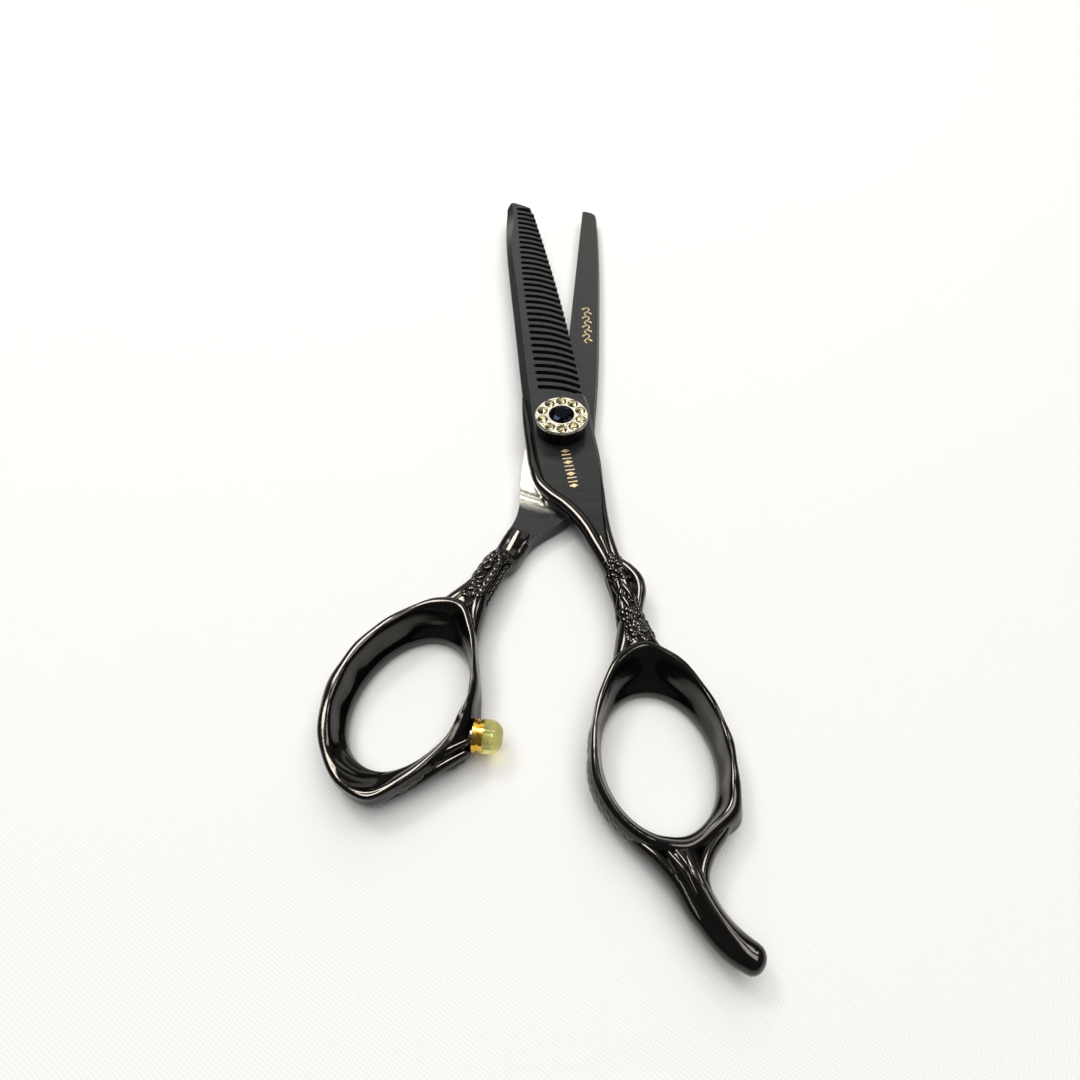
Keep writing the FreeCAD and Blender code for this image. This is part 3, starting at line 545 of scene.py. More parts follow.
def straight_blade_steel(colours):
    """The coated steel of the lower half, with its bare polished ride and the arcs ground at its foot.

    The eye sees a cream mirror beside the pivot, then soft light and dark arcs round the pivot where
    the grinding runs out, then the even coating again. The cream is partly a painted reflection of
    warm light, and the arcs are painted: light arcs of polished steel as painted highlights, dark arcs
    in the coating's colour as painted shade.
    """
    material = coated_blade(colours, "coated_blade_steel_with_ride")
    tree = material.node_tree
    shader = tree.nodes["Principled BSDF"]
    coating, dull = (shader.inputs[key].links[0].from_socket for key in ("Base Color", "Roughness"))
    where = add(tree, "TexCoord")
    axes = add(tree, "SeparateXYZ", None, {"Vector": where.outputs["Object"]})
    flat = add(tree, "VectorMath", {"operation": "MULTIPLY", 1: (1 / MM, 1 / MM, 0)},
               {0: where.outputs["Object"]})
    radius = add(tree, "VectorMath", {"operation": "LENGTH"}, {0: flat})
    # the grinding wheel's chatter is about 0.6 mm long
    chatter = patches(tree, 0.6 * MM, detail=2.0)
    shift = add(tree, "MapRange", {"To Min": -0.3, "To Max": 0.3}, {"Value": chatter})
    wavy = add(tree, "Math", {"operation": "ADD"}, {0: radius.outputs["Value"], 1: shift})
    span = add(tree, "MapRange", {"From Min": RIDE_ARCS[0], "From Max": RIDE_ARCS[1]}, {"Value": wavy})
    # painted highlights and painted shade: light arcs of polished cream steel and dark arcs in the coating's
    # colour stand for the ground crescents reflecting light and dark
    arcs = add(tree, "ValToRGB", None, {"Fac": span})
    ends = arcs.color_ramp.elements
    ends[0].position, ends[0].color = 0.28, (1, 1, 1, 1)
    ends[1].position, ends[1].color = 0.84, (0, 0, 0, 1)
    for position, level in ((0.38, 0.12), (0.45, 0.85), (0.54, 0.05), (0.63, 0.9), (0.72, 0.22)):
        ends.new(position).color = (level, level, level, 1)
    below = add(tree, "MapRange", {"From Min": RIDE_EDGE[0] * MM, "From Max": RIDE_EDGE[1] * MM,
                                   "To Min": 1.0, "To Max": 0.0}, {"Value": axes.outputs["Y"]})
    top = add(tree, "MapRange", {"From Min": (LOWER_FACE - RIDE_DEPTH[0]) * MM,
                                 "From Max": (LOWER_FACE - RIDE_DEPTH[1]) * MM}, {"Value": axes.outputs["Z"]})
    zone = add(tree, "Math", {"operation": "MULTIPLY"}, {0: below, 1: top})
    # polished steel beside the pivot, plus the light arcs as painted highlights
    bare_and_arc_highlights = add(tree, "Math", {"operation": "MULTIPLY"}, {0: arcs, 1: zone})
    lighter(tree, shader, bare_and_arc_highlights, coating, shade(colours.ride))
    gloss = add(tree, "Mix", {3: 0.32}, {0: bare_and_arc_highlights, 2: dull})
    metal = add(tree, "MapRange", {"To Min": 0.3, "To Max": 1.0}, {"Value": bare_and_arc_highlights})
    link(tree, shader, {"Roughness": gloss, "Metallic": metal})
    return material


def black_lacquer(colours):
    """Cast stainless steel, tumbled, polished and coated glossy black.

    The eye sees deep black with long crisp highlights on the crests, faint orange peel, patches dulled
    by fingers, and a hint of bronze where the coating is thin.
    """
    material, tree, shader = finish("glossy_black_lacquer", {"Specular IOR Level": 0.4, "IOR": 1.5,
                                                             "Specular Tint": shade(linear("#fff8ee"))})
    # finger marks are about 5 mm across, orange peel about 0.9 mm
    wear_in(tree, shader, patches(tree, 5 * MM, detail=4.0),
            [(0.35, shade(colours.lacquer)), (0.75, shade(linear("#0e0d0b")))], (0.09, 0.2))
    peel = add(tree, "Bump", {"Distance": 0.014 * MM}, {"Height": patches(tree, 0.9 * MM, detail=2.0)})
    link(tree, shader, {"Normal": peel})
    return material


def etched_gold(colours):
    """Laser-etched marks filled with gold colour. The eye sees warm matt lines with broken edges."""
    material, tree, shader = finish("etched_gold_marks", {"Metallic": 0.5})
    wear_in(tree, shader, patches(tree, 0.22 * MM),
            [(0.3, shade(colours.mark, 0.5)), (0.7, shade(colours.mark, 1.1))], (0.35, 0.6))
    return material


def plated(name, rgb, roughness, grain):
    """Turned and plated metal. The eye sees a bright mirror broken by fine turning marks and light scuffs."""
    material, tree, shader = finish(name, {"Metallic": 1.0})
    wear_in(tree, shader, patches(tree, grain * MM, detail=4.0),
            [(0.3, shade(rgb, 0.68)), (0.7, shade(rgb, 1.08))], (roughness * 0.7, roughness * 1.6), 0.01 * MM)
    return material


def knurled_black(colours):
    """Knurled steel, blackened. The eye sees near black with worn, slightly bright points."""
    material, tree, shader = finish("blackened_knurl_and_stone_shade", {"Metallic": 0.4, "Specular IOR Level": 0.3})
    tint = wear_in(tree, shader, patches(tree, 0.6 * MM),
                   [(0.3, shade(linear("#070708"))), (0.7, shade(linear("#121213")))], (0.3, 0.5))
    lighter(tree, shader, rubbed_edges(tree, 0.08 * MM, 0.7, 0.97), tint, shade(linear("#2e2c29")))
    return material


def cut_glass(name, stops, settings, gloss, facet):
    """Faceted glass over foil. Each facet-sized cell takes its own brightness, dark to bright: painted
    glints and painted facet shade, so the eye sees it glitter.
    """
    material, tree, shader = finish(name, settings)
    where = add(tree, "TexCoord")
    cells = add(tree, "TexVoronoi", {"Scale": 1 / (facet * MM)}, {"Vector": where.outputs["Object"]})
    # painted glints and painted facet shade: a random brightness for each facet-sized cell
    facet_glints = add(tree, "SeparateColor", None, {0: cells.outputs["Color"]})
    wear_in(tree, shader, facet_glints, stops, gloss)
    return material


def yellow_cap(colours):
    """Moulded clear soft PVC. The eye sees a honey-yellow dome that glows where light passes through."""
    material, tree, shader = finish("clear_yellow_soft_pvc", {"IOR": 1.46, "Transmission Weight": 0.78,
                                                              "Subsurface Weight": 0.15,
                                                              "Subsurface Scale": 1.2 * MM})
    wear_in(tree, shader, patches(tree, 1.6 * MM),
            [(0.3, shade(colours.cap, 0.94)), (0.7, shade(colours.cap, 1.1))], (0.03, 0.1), 0.02 * MM)
    return material


def washer_acetal():
    """Moulded acetal. The eye sees plain off-white with a dull shine and faint mould grain."""
    material, tree, shader = finish("moulded_acetal", {"IOR": 1.48})
    wear_in(tree, shader, patches(tree, 0.5 * MM),
            [(0.3, shade(linear("#cfcbc0"))), (0.7, shade(linear("#e6e3da")))], (0.4, 0.55))
    return material


def pale_cloth(colours):
    """Plain woven cotton. The eye sees an even white with a fine square weave that shows in the shadows."""
    material, tree, shader = finish("plain_white_cotton", {"Roughness": 0.95, "Specular IOR Level": 0.1})
    where = add(tree, "TexCoord")
    laid = add(tree, "Mapping", {"Rotation": (0, 0, math.radians(32))}, {"Vector": where.outputs["Object"]})
    # threads are about 0.25 mm apart, drawn at 0.42 mm so that they show. A wave repeats every pi / 10 units
    scale = math.pi / 10 / (0.42 * MM)
    warp, weft = (add(tree, "TexWave", {"Scale": scale, "bands_direction": way, "Distortion": 0.5},
                      {"Vector": laid}).outputs["Fac"] for way in ("X", "Y"))
    weave = add(tree, "Math", {"operation": "MULTIPLY"}, {0: warp, 1: weft})
    band = add(tree, "MapRange", {"To Min": 0.3, "To Max": 0.7}, {"Value": weave})
    wear_in(tree, shader, band,
            [(0.3, shade(colours.floor, 0.9)), (0.7, shade(colours.floor))], (0.9, 0.98), 0.03 * MM)
    return material


def cover(nodes, material):
    """Gives frame nodes a finish."""
    for name in nodes:
        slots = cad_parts[name].data.materials
        slots.clear()
        slots.append(material)


# ---- shanks and finger rest
# rows of x, y, z, width and height
FINGER_STEM = [
    (6.4, -25.0, 4.9, 2.4, 2.6), (7.4, -28.6, 4.3, 3.0, 4.0), (8.6, -32.2, 3.9, 3.7, 5.0),
    (9.7, -36.0, 3.8, 3.9, 5.0), (10.2, -39.6, 3.8, 4.1, 5.2), (10.6, -42.6, 3.8, 4.8, 5.6),
    (11.2, -45.6, 3.8, 6.6, 5.8),
]
FINGER_SLEEVES = [
    [(6.7, -52.0, 3.0, 0.7, 2.2), (7.9, -48.4, 3.6, 2.0, 4.0), (9.0, -44.8, 3.9, 2.9, 4.9),
     (9.3, -40.6, 3.9, 1.8, 4.2)],
    [(18.3, -52.2, 3.0, 0.7, 2.2), (15.6, -48.6, 3.6, 2.0, 4.0), (12.9, -45.5, 4.0, 3.1, 5.1),
     (11.6, -41.8, 4.0, 2.2, 4.6)],
]
SPINE_RIB = [
    (-7.3, 9.0, 5.45, 0.5, 0.8), (-6.75, 4.0, 5.4, 1.3, 1.5), (-5.75, -4.0, 5.35, 1.75, 1.8),
    (-4.95, -9.5, 5.3, 1.95, 2.0), (-4.0, -12.9, 5.3, 2.15, 2.1), (-2.1, -15.4, 5.3, 2.3, 2.2),
    (0.5, -17.9, 5.3, 2.4, 2.4), (2.4, -20.3, 5.25, 2.5, 2.7), (4.0, -23.0, 5.15, 2.5, 3.0),
    (5.4, -26.2, 4.9, 2.5, 3.3), (6.8, -29.4, 4.6, 2.4, 3.4), (8.0, -32.4, 4.2, 2.0, 3.2),
]
SIDE_RIB = [
    (6.15, -2.0, 5.3, 0.3, 0.8), (6.7, -9.0, 5.3, 0.6, 1.5), (7.05, -15.0, 5.3, 0.85, 1.9),
    (7.15, -20.0, 5.25, 1.2, 2.2), (7.5, -24.5, 5.1, 1.6, 2.8), (8.2, -28.5, 4.8, 2.0, 3.4),
    (9.2, -32.0, 4.4, 1.8, 3.4),
]
BRANCH = [
    (9.2, -29.9, 5.0, 1.5, 1.8), (10.7, -31.6, 5.0, 2.0, 2.4), (11.8, -33.4, 4.8, 2.2, 2.8),
    (12.1, -35.2, 4.6, 2.1, 2.8), (11.8, -37.2, 4.4, 1.8, 2.6), (11.4, -39.4, 4.3, 1.6, 2.4),
    (11.2, -41.8, 4.3, 1.3, 2.0),
]
TANG = [
    (14.2, -75.2, 3.6, 5.0, 4.4), (14.8, -77.0, 3.7, 4.6, 4.8), (16.0, -80.4, 3.8, 4.2, 4.5),
    (17.8, -83.6, 3.95, 4.2, 4.3), (20.0, -85.9, 4.1, 4.1, 4.1), (21.5, -86.9, 4.2, 3.8, 3.8),
]
TANG_ROOTS = [
    [(6.0, -70.2, 2.8, 0.8, 2.0), (8.3, -73.0, 3.1, 1.7, 3.2), (11.2, -75.7, 3.5, 2.1, 3.9),
     (13.3, -78.5, 3.6, 1.9, 3.9), (15.1, -82.1, 3.7, 1.6, 3.4), (17.3, -85.2, 3.8, 1.0, 2.6)],
    [(22.0, -70.0, 3.2, 0.8, 2.2), (20.1, -72.3, 3.4, 1.8, 3.6), (17.8, -74.9, 3.6, 2.2, 4.2),
     (16.6, -77.8, 3.8, 2.0, 4.0), (17.4, -81.2, 3.9, 1.3, 3.2)],
    [(12.6, -75.2, 4.8, 1.0, 1.6), (14.2, -77.4, 5.3, 1.1, 1.7), (15.4, -80.0, 5.2, 0.9, 1.5)],
    [(13.5, -75.0, 5.0, 0.9, 1.6), (14.6, -76.9, 5.55, 1.0, 1.6), (15.2, -78.6, 5.5, 0.6, 1.2)],
    [(14.6, -75.2, 5.0, 1.0, 1.6), (15.2, -77.2, 5.4, 1.3, 1.8), (16.0, -79.4, 5.2, 0.8, 1.4)],
    [(11.2, -75.4, 4.3, 0.9, 1.6), (12.9, -77.8, 4.8, 1.0, 1.6), (14.2, -80.4, 4.6, 0.6, 1.2)],
]
THUMB_STEM = [
    (-7.2, -22.3, 2.1, 4.9, 3.2), (-7.95, -23.8, 2.2, 5.0, 3.5), (-9.2, -26.3, 2.1, 4.9, 3.6),
    (-10.0, -27.9, 2.4, 4.6, 3.9), (-11.1, -29.4, 3.4, 3.8, 4.8), (-13.0, -33.2, 3.7, 3.9, 5.4),
    (-14.6, -36.0, 3.8, 4.8, 5.4), (-16.1, -38.6, 3.8, 6.0, 5.2),
]
THUMB_LAND = [
    (-7.6, -22.9, 4.1, 0.9, 1.0), (-8.3, -24.4, 3.85, 1.25, 1.0), (-9.2, -26.3, 3.55, 1.25, 1.0),
    (-10.0, -27.9, 3.3, 0.9, 1.0),
]
THUMB_SLEEVES = [
    [(-24.2, -41.4, 3.0, 0.7, 2.2), (-20.6, -39.2, 3.6, 2.2, 4.2), (-16.9, -36.8, 4.0, 3.4, 5.1),
     (-14.0, -33.4, 3.9, 2.2, 4.6)],
    [(-14.05, -48.0, 3.0, 0.5, 2.0), (-14.2, -43.4, 3.6, 1.6, 4.0), (-14.1, -38.6, 4.0, 3.3, 5.1),
     (-12.6, -34.0, 3.9, 2.0, 4.4)],
]
WEB_FOLDS = [
    [(-14.2, -60.6, 5.4, 0.9, 1.4), (-18.4, -62.6, 4.9, 1.3, 1.5), (-22.6, -65.4, 4.3, 1.1, 1.3),
     (-26.0, -67.4, 3.9, 0.5, 0.8)],
    [(-14.4, -61.9, 4.4, 1.0, 1.5), (-18.2, -63.9, 3.9, 1.4, 1.6), (-22.0, -66.2, 3.3, 1.1, 1.3),
     (-25.4, -68.1, 3.0, 0.5, 0.8)],
]
# ornament lies between two shares of a stem's length, at angles from its right hand upwards
# strands: start, end, turns, relative thickness, first angle in radians
FINGER_STRANDS = [(0.36, 0.84, 0.3, 1.0, 0.2), (0.34, 0.84, 0.3, 0.9, 0.9), (0.38, 0.86, -0.35, 1.0, 1.9),
                  (0.36, 0.84, 0.35, 0.8, 3.4)]
THUMB_STRANDS = [(0.42, 0.84, 0.9, 1.0, 2.6), (0.42, 0.84, -0.9, 0.85, 1.0)]
# beads: start, end, count, two angles in degrees, relative size, seed
FINGER_BEADS = [(0.2, 0.44, 44, 30, 175, 1.0, 3), (0.7, 0.9, 44, 40, 175, 1.0, 5),
                (0.84, 0.93, 26, 60, 180, 1.15, 8), (0.9, 0.99, 26, 35, 150, 1.0, 21)]
THUMB_BEADS = [(0.40, 0.56, 18, 60, 130, 1.0, 11), (0.74, 0.92, 34, 60, 165, 1.0, 13)]
# loops: start, end, count, angle in degrees, radius and wire in bead radii
FINGER_LOOPS = [(0.62, 0.72, 2, 110, 1.3, 0.6)]
THUMB_LOOPS = [(0.40, 0.66, 4, 35, 1.5, 0.75), (0.45, 0.70, 3, 75, 1.3, 0.7)]
# leaves: start, end, count, angle in degrees, length, width, lean
THUMB_LEAVES = [(0.44, 0.94, 9, 158, 1.35, 0.8, 0.25), (0.48, 0.9, 8, 122, 1.3, 0.75, 0.25)]
STEM_STEPS, STRAND_STEPS = 400, 160
STRAND_SEAT, BEAD_SEAT, LEAF_SEAT = 0.96, 0.93, 0.97   # shares of the stem's own half width


def on_stem(stem, share, angle, lift=1.0):
    """Places on a stem's ellipse at the given shares and angles, and the directions ahead and outwards."""
    rows = through(stem, STEM_STEPS)
    at = np.asarray(share) * (STEM_STEPS - 1)
    steps = np.arange(STEM_STEPS)
    rows, ahead, right, up = [np.stack([np.interp(at, steps, column) for column in table.T], 1)
                              for table in (rows, *directions(rows[:, :3]))]
    c, s = np.cos(angle)[:, None], np.sin(angle)[:, None]
    centre = rows[:, :3] + lift * (right * c * rows[:, 3:4] / 2 + up * s * rows[:, 4:5] / 2)
    return centre, ahead, right * c + up * s


def winding(stem, start, end, turns, thickness, phase):
    """A strand wound round a stem: the stem's ellipse at a steadily turning angle, thinner at its ends."""
    share = np.linspace(start, end, STRAND_STEPS)
    step = np.linspace(0, 1, STRAND_STEPS)
    swell = STRAND_SEAT * np.sin(np.pi * np.clip(step, 0.02, 0.98)) ** 0.3
    centre, _, _ = on_stem(stem, share, 2 * np.pi * turns * step + phase, swell[:, None])
    taper = 2 * thickness * (0.55 + 0.45 * np.sin(np.pi * step))[:, None]
    return tube(np.hstack([centre, taper, taper]), sides=14)


def scattered(stem, start, end, count, low, high, size, seed):
    """Beads seated on a stem at places spread by chance, between two shares and two angles in degrees."""
    chance = np.random.default_rng(seed)
    share = start + (end - start) * (np.arange(count) + chance.uniform(0, 1, count)) / count
    centre, _, _ = on_stem(stem, share, np.radians(chance.uniform(low, high, count)), BEAD_SEAT)
    radius = size * chance.uniform(0.7, 1.4, count)
    return pebbles(centre, radius * 1.3, radius, radius * 0.9, chance.normal(size=(count, 3)) * (1, 1, 0.2))


def leaves(stem, start, end, count, angle, length, width, lean):
    """A row of overlapping leaves along a stem, each a flattened ball that leans out at its far end."""
    turn = np.full(count, math.radians(angle))
    centre, ahead, out = on_stem(stem, np.linspace(start, end, count), turn, LEAF_SEAT)
    return pebbles(centre, length, width, width * 0.6, ahead + out * lean, rows=9, columns=14)


def loops(stem, start, end, count, angle, radius, wire):
    """A row of small cast loops: each is a torus facing out of the stem."""
    turn = np.full(count, math.radians(angle))
    centre, ahead, out = on_stem(stem, np.linspace(start, end, count), turn)
    round_it = np.linspace(0, 2 * np.pi, 28, endpoint=False)[:, None, None]
    wire_turn = np.linspace(0, 2 * np.pi, 12, endpoint=False)[None, :, None]
    shells = []
    for c, a, o in zip(centre, ahead, out):
        side = np.cross(o, a)
        spoke = a * np.cos(round_it) + side * np.sin(round_it)
        shells.append(hoop(c + spoke * (radius + wire * np.cos(wire_turn)) + o * wire * np.sin(wire_turn)))
    return shells


def flutes(count, depth, wind, start, end):
    """Relief of a fluted bar: a cosine round it that winds as it goes along, between two distances."""
    return lambda along, angle: depth * np.cos(count * angle + wind * along) * window(along, start, end, 2.0)


def rest_ridge(along, angle):
    """Relief of the finger rest: a rounded ridge on its upper right side with a hollow on either hand."""
    reach = window(along, 2.0, 11.5, 5.0)
    ridge = 0.36 * np.exp(-((angle - 1.85) / 0.36) ** 2)
    hollows = 0.3 * np.exp(-((angle - 1.1) / 0.3) ** 2) + 0.12 * np.exp(-((angle - 2.7) / 0.3) ** 2)
    return (ridge - hollows) * reach


def ornament(stem, sizes, strands, beads, rings, foliage=()):
    """The cast ornament of one stem, from its tables."""
    strand, bead = sizes.strand_radius / MM, sizes.bead_radius / MM
    shells = [winding(stem, start, end, turns, strand * thick, phase)
              for start, end, turns, thick, phase in strands]
    for *place, radius, wire in rings:
        shells += loops(stem, *place, bead * radius, bead * wire)
    for row in foliage:
        shells += leaves(stem, *row)
    for *place, size, seed in beads:
        shells += scattered(stem, *place, bead * size, seed)
    return shells


class ShearsRings(Operator):
    """Make the two sculpted rings, with the finger rest"""

    bl_idname = "shears.rings"
    bl_label = "Rings"

    def execute(self, context):
        sizes = context.scene.shears_sizes
        finger = [ring_shell(FINGER, sizes),
                  tube(through(TANG, 90), sides=72, power=2.1, relief=rest_ridge, ends=(0.5, 0.8))]
        finger += [tube(through(root, 70), sides=28) for root in TANG_ROOTS]
        thumb = [ring_shell(THUMB, sizes)] + [tube(through(fold, 80), sides=28) for fold in WEB_FOLDS]
        make_piece("finger_ring", finger, "glossy_black_lacquer", "finger_half",
                   replaces=("finger_handle",))
        make_piece("thumb_ring", thumb, "glossy_black_lacquer", "thumb_half",
                   replaces=("thumb_handle",))
        return {"FINISHED"}


class ShearsFingerShank(Operator):
    """Make the ribs, vines and beads between the comb blade and the finger ring"""

    bl_idname = "shears.finger_shank"
    bl_label = "Finger shank"

    def execute(self, context):
        sizes = context.scene.shears_sizes
        shells = [
            tube(through(FINGER_STEM, 160), sides=72, relief=flutes(8, 0.16, 0.4, 7.0, 18.0),
                 ends=(1.0, 0.5)),
            tube(through(SPINE_RIB, 160), sides=36, power=2.2),
            tube(through(SIDE_RIB, 120), sides=28, power=2.2),
            tube(through(BRANCH, 90), sides=32),
            *(tube(through(sleeve, 80), sides=36) for sleeve in FINGER_SLEEVES),
            *ornament(FINGER_STEM, sizes, FINGER_STRANDS, FINGER_BEADS, FINGER_LOOPS),
        ]
        make_piece("finger_shank", shells, "glossy_black_lacquer", "finger_half")
        return {"FINISHED"}


class ShearsThumbShank(Operator):
    """Make the bar, knots, leaves and beads between the straight blade and the thumb ring"""

    bl_idname = "shears.thumb_shank"
    bl_label = "Thumb shank"

    def execute(self, context):
        sizes = context.scene.shears_sizes
        shells = [
            tube(through(THUMB_STEM, 160), sides=72, power=2.8, relief=flutes(8, 0.14, 0.8, 8.0, 18.0),
                 ends=(0.1, 0.5)),
            tube(through(THUMB_LAND, 60), sides=36, power=4.0, ends=(0.5, 0.5)),
            *(tube(through(sleeve, 80), sides=36) for sleeve in THUMB_SLEEVES),
            *ornament(THUMB_STEM, sizes, THUMB_STRANDS, THUMB_BEADS, THUMB_LOOPS, THUMB_LEAVES),
        ]
        make_piece("thumb_shank", shells, "glossy_black_lacquer", "thumb_half")
        return {"FINISHED"}


# ---- etched marks
MARK_GAP = 0.02        # between a blade and its marks, and the marks' thickness, in millimetres
MARK_THICKNESS = 0.03
VINE = ((6.55, 41.0), (6.2, 28.5), 4, 0.5, 0.95)     # start, end, waves, reach across, leaf
VINE_WIDTH = 1.15      # as a share of the marks' line width
BORDER = ((0.6, -5.3), (2.1, -14.6), (0.85, 0.42))   # start, end, half sizes of a lozenge
FIGURES = ("lozenge", "bar", "bar") * 3 + ("lozenge",)


def ribbon(path, widths):
    """A flat strip: a path in plan moved square to itself, half a width each way."""
    ahead = np.gradient(path, axis=0)
    side = np.stack([-ahead[:, 1], ahead[:, 0]], 1) / np.linalg.norm(ahead, axis=1, keepdims=True)
    half = np.broadcast_to(np.asarray(widths, float), len(path))[:, None] / 2
    return np.stack([path + side * half, path - side * half], 1)


def etch(name, strips, blade, body):
    """Marks on a blade: flat strips dropped onto its face, then given a hair's thickness."""
    points = np.vstack([strip.reshape(-1, 2) for strip in strips])
    points = np.hstack([points, np.full((len(points), 1), node_box(blade)[1, 2] + 1)])
    faces, count = [], 0
    for strip in strips:
        i = np.arange(len(strip) - 1) * 2 + count
        faces += np.stack([i, i + 1, i + 3, i + 2], 1).tolist()
        count += len(strip) * 2
    piece = mesh_object(name, points, faces, "etched_gold_marks")
    laid = piece.modifiers.new("laid_on", "SHRINKWRAP")
    laid.target, laid.wrap_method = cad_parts[blade], "PROJECT"
    laid.use_project_z = laid.use_negative_direction = True
    laid.use_positive_direction = False
    laid.offset = MARK_GAP * MM
    skin = piece.modifiers.new("skin", "SOLIDIFY")
    skin.thickness = MARK_THICKNESS * MM
    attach(piece, body)


def vine(start, end, waves, across, leaf, width):
    """A creeping stem with leaves: a sine from start to end, thick on its bends, and a leaf at each bend.

    A leaf is a short arc that leaves the stem where it crosses the middle, and its width is a half sine.
    """
    start, end = np.array(start), np.array(end)
    ahead = (end - start) / np.linalg.norm(end - start)
    side = np.array([-ahead[1], ahead[0]])
    share = np.linspace(0, 1, 240)[:, None]
    bend = np.sin(2 * np.pi * waves * share)
    path = start + (end - start) * share + side * across * bend
    strips = [ribbon(path, width * (0.6 + 0.5 * np.abs(bend[:, 0])))]
    step = np.linspace(0, 1, 20)[:, None]
    for k in range(2 * waves):
        root = start + (end - start) * (k + 0.1) / (2 * waves)
        sign = 1 if k % 2 else -1
        path = root + ahead * leaf * 0.9 * step + side * sign * leaf * np.sin(1.9 * step)
        strips.append(ribbon(path, 0.1 + 0.36 * np.sin(np.pi * step[:, 0])))
    return strips


def figure(kind, middle, ahead, size, width):
    """One small figure of a border, a flat strip across it: a bar, or a lozenge that narrows to its ends."""
    across, along = size
    step = np.linspace(-1, 1, 21)
    path = middle + np.array([-ahead[1], ahead[0]]) * across * step[:, None]
    return ribbon(path, width if kind == "bar" else 0.05 + 2 * along * (1 - np.abs(step)))


def border(kinds, start, end, size, width):
    """A row of small figures from start to end, evenly spaced."""
    start, end = np.array(start), np.array(end)
    ahead = (end - start) / np.linalg.norm(end - start)
    places = start + (end - start) * ((np.arange(len(kinds)) + 0.5) / len(kinds))[:, None]
    return [figure(kind, spot, ahead, size, width) for kind, spot in zip(kinds, places)]


class ShearsMarks(Operator):
    """Make the etched vine on the straight blade and the etched border on the comb blade"""

    bl_idname = "shears.marks"
    bl_label = "Etched marks"

    def execute(self, context):
        width = context.scene.shears_sizes.mark_width / MM
        etch("straight_blade_marks", vine(*VINE, width * VINE_WIDTH), "straight_blade", "thumb_half")
        etch("comb_blade_marks", border(FIGURES, *BORDER, width), "comb_blade", "finger_half")
        return {"FINISHED"}


GRAIN_SINK = 0.34            # millimetres from the stones' tops down to the grains' middles
GRAIN_REACH = (0.62, -0.55)  # outer and inner grains, from the ring of stones, in stone radii
SHADE_RING_GAP = 0.02               # between a stone and its dark ring of painted shade, and of the ring's top over the grains' middles
SHADE_RING_WIRE = (0.085, 0.1)      # half width and half height of the dark ring


class ShearsSetting(Operator):
    """Make the grains that hold the dial's stones, and thin dark rings round them as painted shade"""

    bl_idname = "shears.setting"
    bl_label = "Stone setting"

    def execute(self, context):
        radius = context.scene.shears_sizes.prong_radius / MM
        middle = node_box("dial_bezel").mean(0)[:2]
        stones = np.array([node_box(name).mean(0)[:2] for name in STONES])
        low, high = node_box(STONES[0])
        stone = (high - low)[0] / 2
        away = np.hypot(*(stones - middle).T).mean()
        face = high[2] - GRAIN_SINK
        bearing = np.arctan2(*(stones - middle).T[::-1]) + np.pi / len(STONES)
        spokes = np.stack([np.cos(bearing), np.sin(bearing)], 1)
        spots = np.vstack([middle + spokes * (away + reach * stone) for reach in GRAIN_REACH])
        grains = pebbles(np.hstack([spots, np.full((len(spots), 1), face)]), radius, radius, radius * 1.3,
                         np.tile([1.0, 0, 0], (len(spots), 1)))
        make_piece("setting_grains", grains, "bright_nickel_plate", "tension_dial")
        # a thin dark ring round each stone: painted shade in the gap between stone and setting
        turn = np.linspace(0, 2 * np.pi, 40, endpoint=False)[:, None]
        wire = np.linspace(0, 2 * np.pi, 8, endpoint=False)[None, :]
        shade_rings = []
        for x, y in stones:
            reach = stone + SHADE_RING_GAP + SHADE_RING_WIRE[0] * np.cos(wire)
            grid = np.stack([x + reach * np.cos(turn), y + reach * np.sin(turn),
                             face + SHADE_RING_GAP + SHADE_RING_WIRE[1] * np.sin(wire) + 0 * turn], 2)
            shade_rings.append(hoop(grid))
        make_piece("setting_shade_rings", shade_rings, "blackened_knurl_and_stone_shade", "tension_dial")
        return {"FINISHED"}


class ShearsFinishes(Operator):
    """Make every finish and put it on the frame's own parts"""

    bl_idname = "shears.finishes"
    bl_label = "Finishes"

    def execute(self, context):
        colours = context.scene.shears_colours
        black_lacquer(colours)
        etched_gold(colours)
        pale_cloth(colours)
        cover(["comb_blade"], coated_blade(colours))
        cover(["straight_blade"], straight_blade_steel(colours))
        cover(["pivot_screw", "bumper_stud"], plated("turned_stainless_steel", linear("#9b9a98"), 0.22, 0.4))
        cover(["tension_spring", "click_plate"], plated("spring_steel", linear("#77787a"), 0.3, 0.5))
        cover(["pivot_bush"], plated("sintered_bronze", linear("#a9814a"), 0.35, 0.2))
        cover(["thrust_washer", "slide_washer"], washer_acetal())
        cover(["dial_body"], knurled_black(colours))
        cover(["dial_bezel"], plated("bright_nickel_plate", colours.bezel, 0.2, 0.35))
        # from dark to brighter than the stone's own colour: painted facet shade and painted glints
        pale = [(place, shade(colours.stone, gain))
                for place, gain in ((0.15, 0.12), (0.45, 0.7), (0.7, 1.0), (0.95, 1.7))]
        foiled = {"Metallic": 0.7, "Coat Weight": 0.6, "Coat Roughness": 0.03}
        cover(STONES, cut_glass("foiled_pale_glass", pale, foiled, (0.06, 0.2), 0.55))
        # near black with a few bluish cells: painted faint reflections on the facets
        black = [(0.3, shade(colours.centre)), (0.8, shade(colours.centre)),
                 (0.97, shade(linear("#0a0f1a")))]
        gem = {"IOR": 1.5, "Specular IOR Level": 0.06, "Specular Tint": shade(linear("#b9ccff"))}
        cover(["centre_stone"], cut_glass("black_cut_glass", black, gem, (0.03, 0.12), 1.3))
        cover(["bumper_collar"], plated("gilt_brass", colours.gilt, 0.16, 0.5))
        cover(["bumper_cap"], yellow_cap(colours))
        return {"FINISHED"}


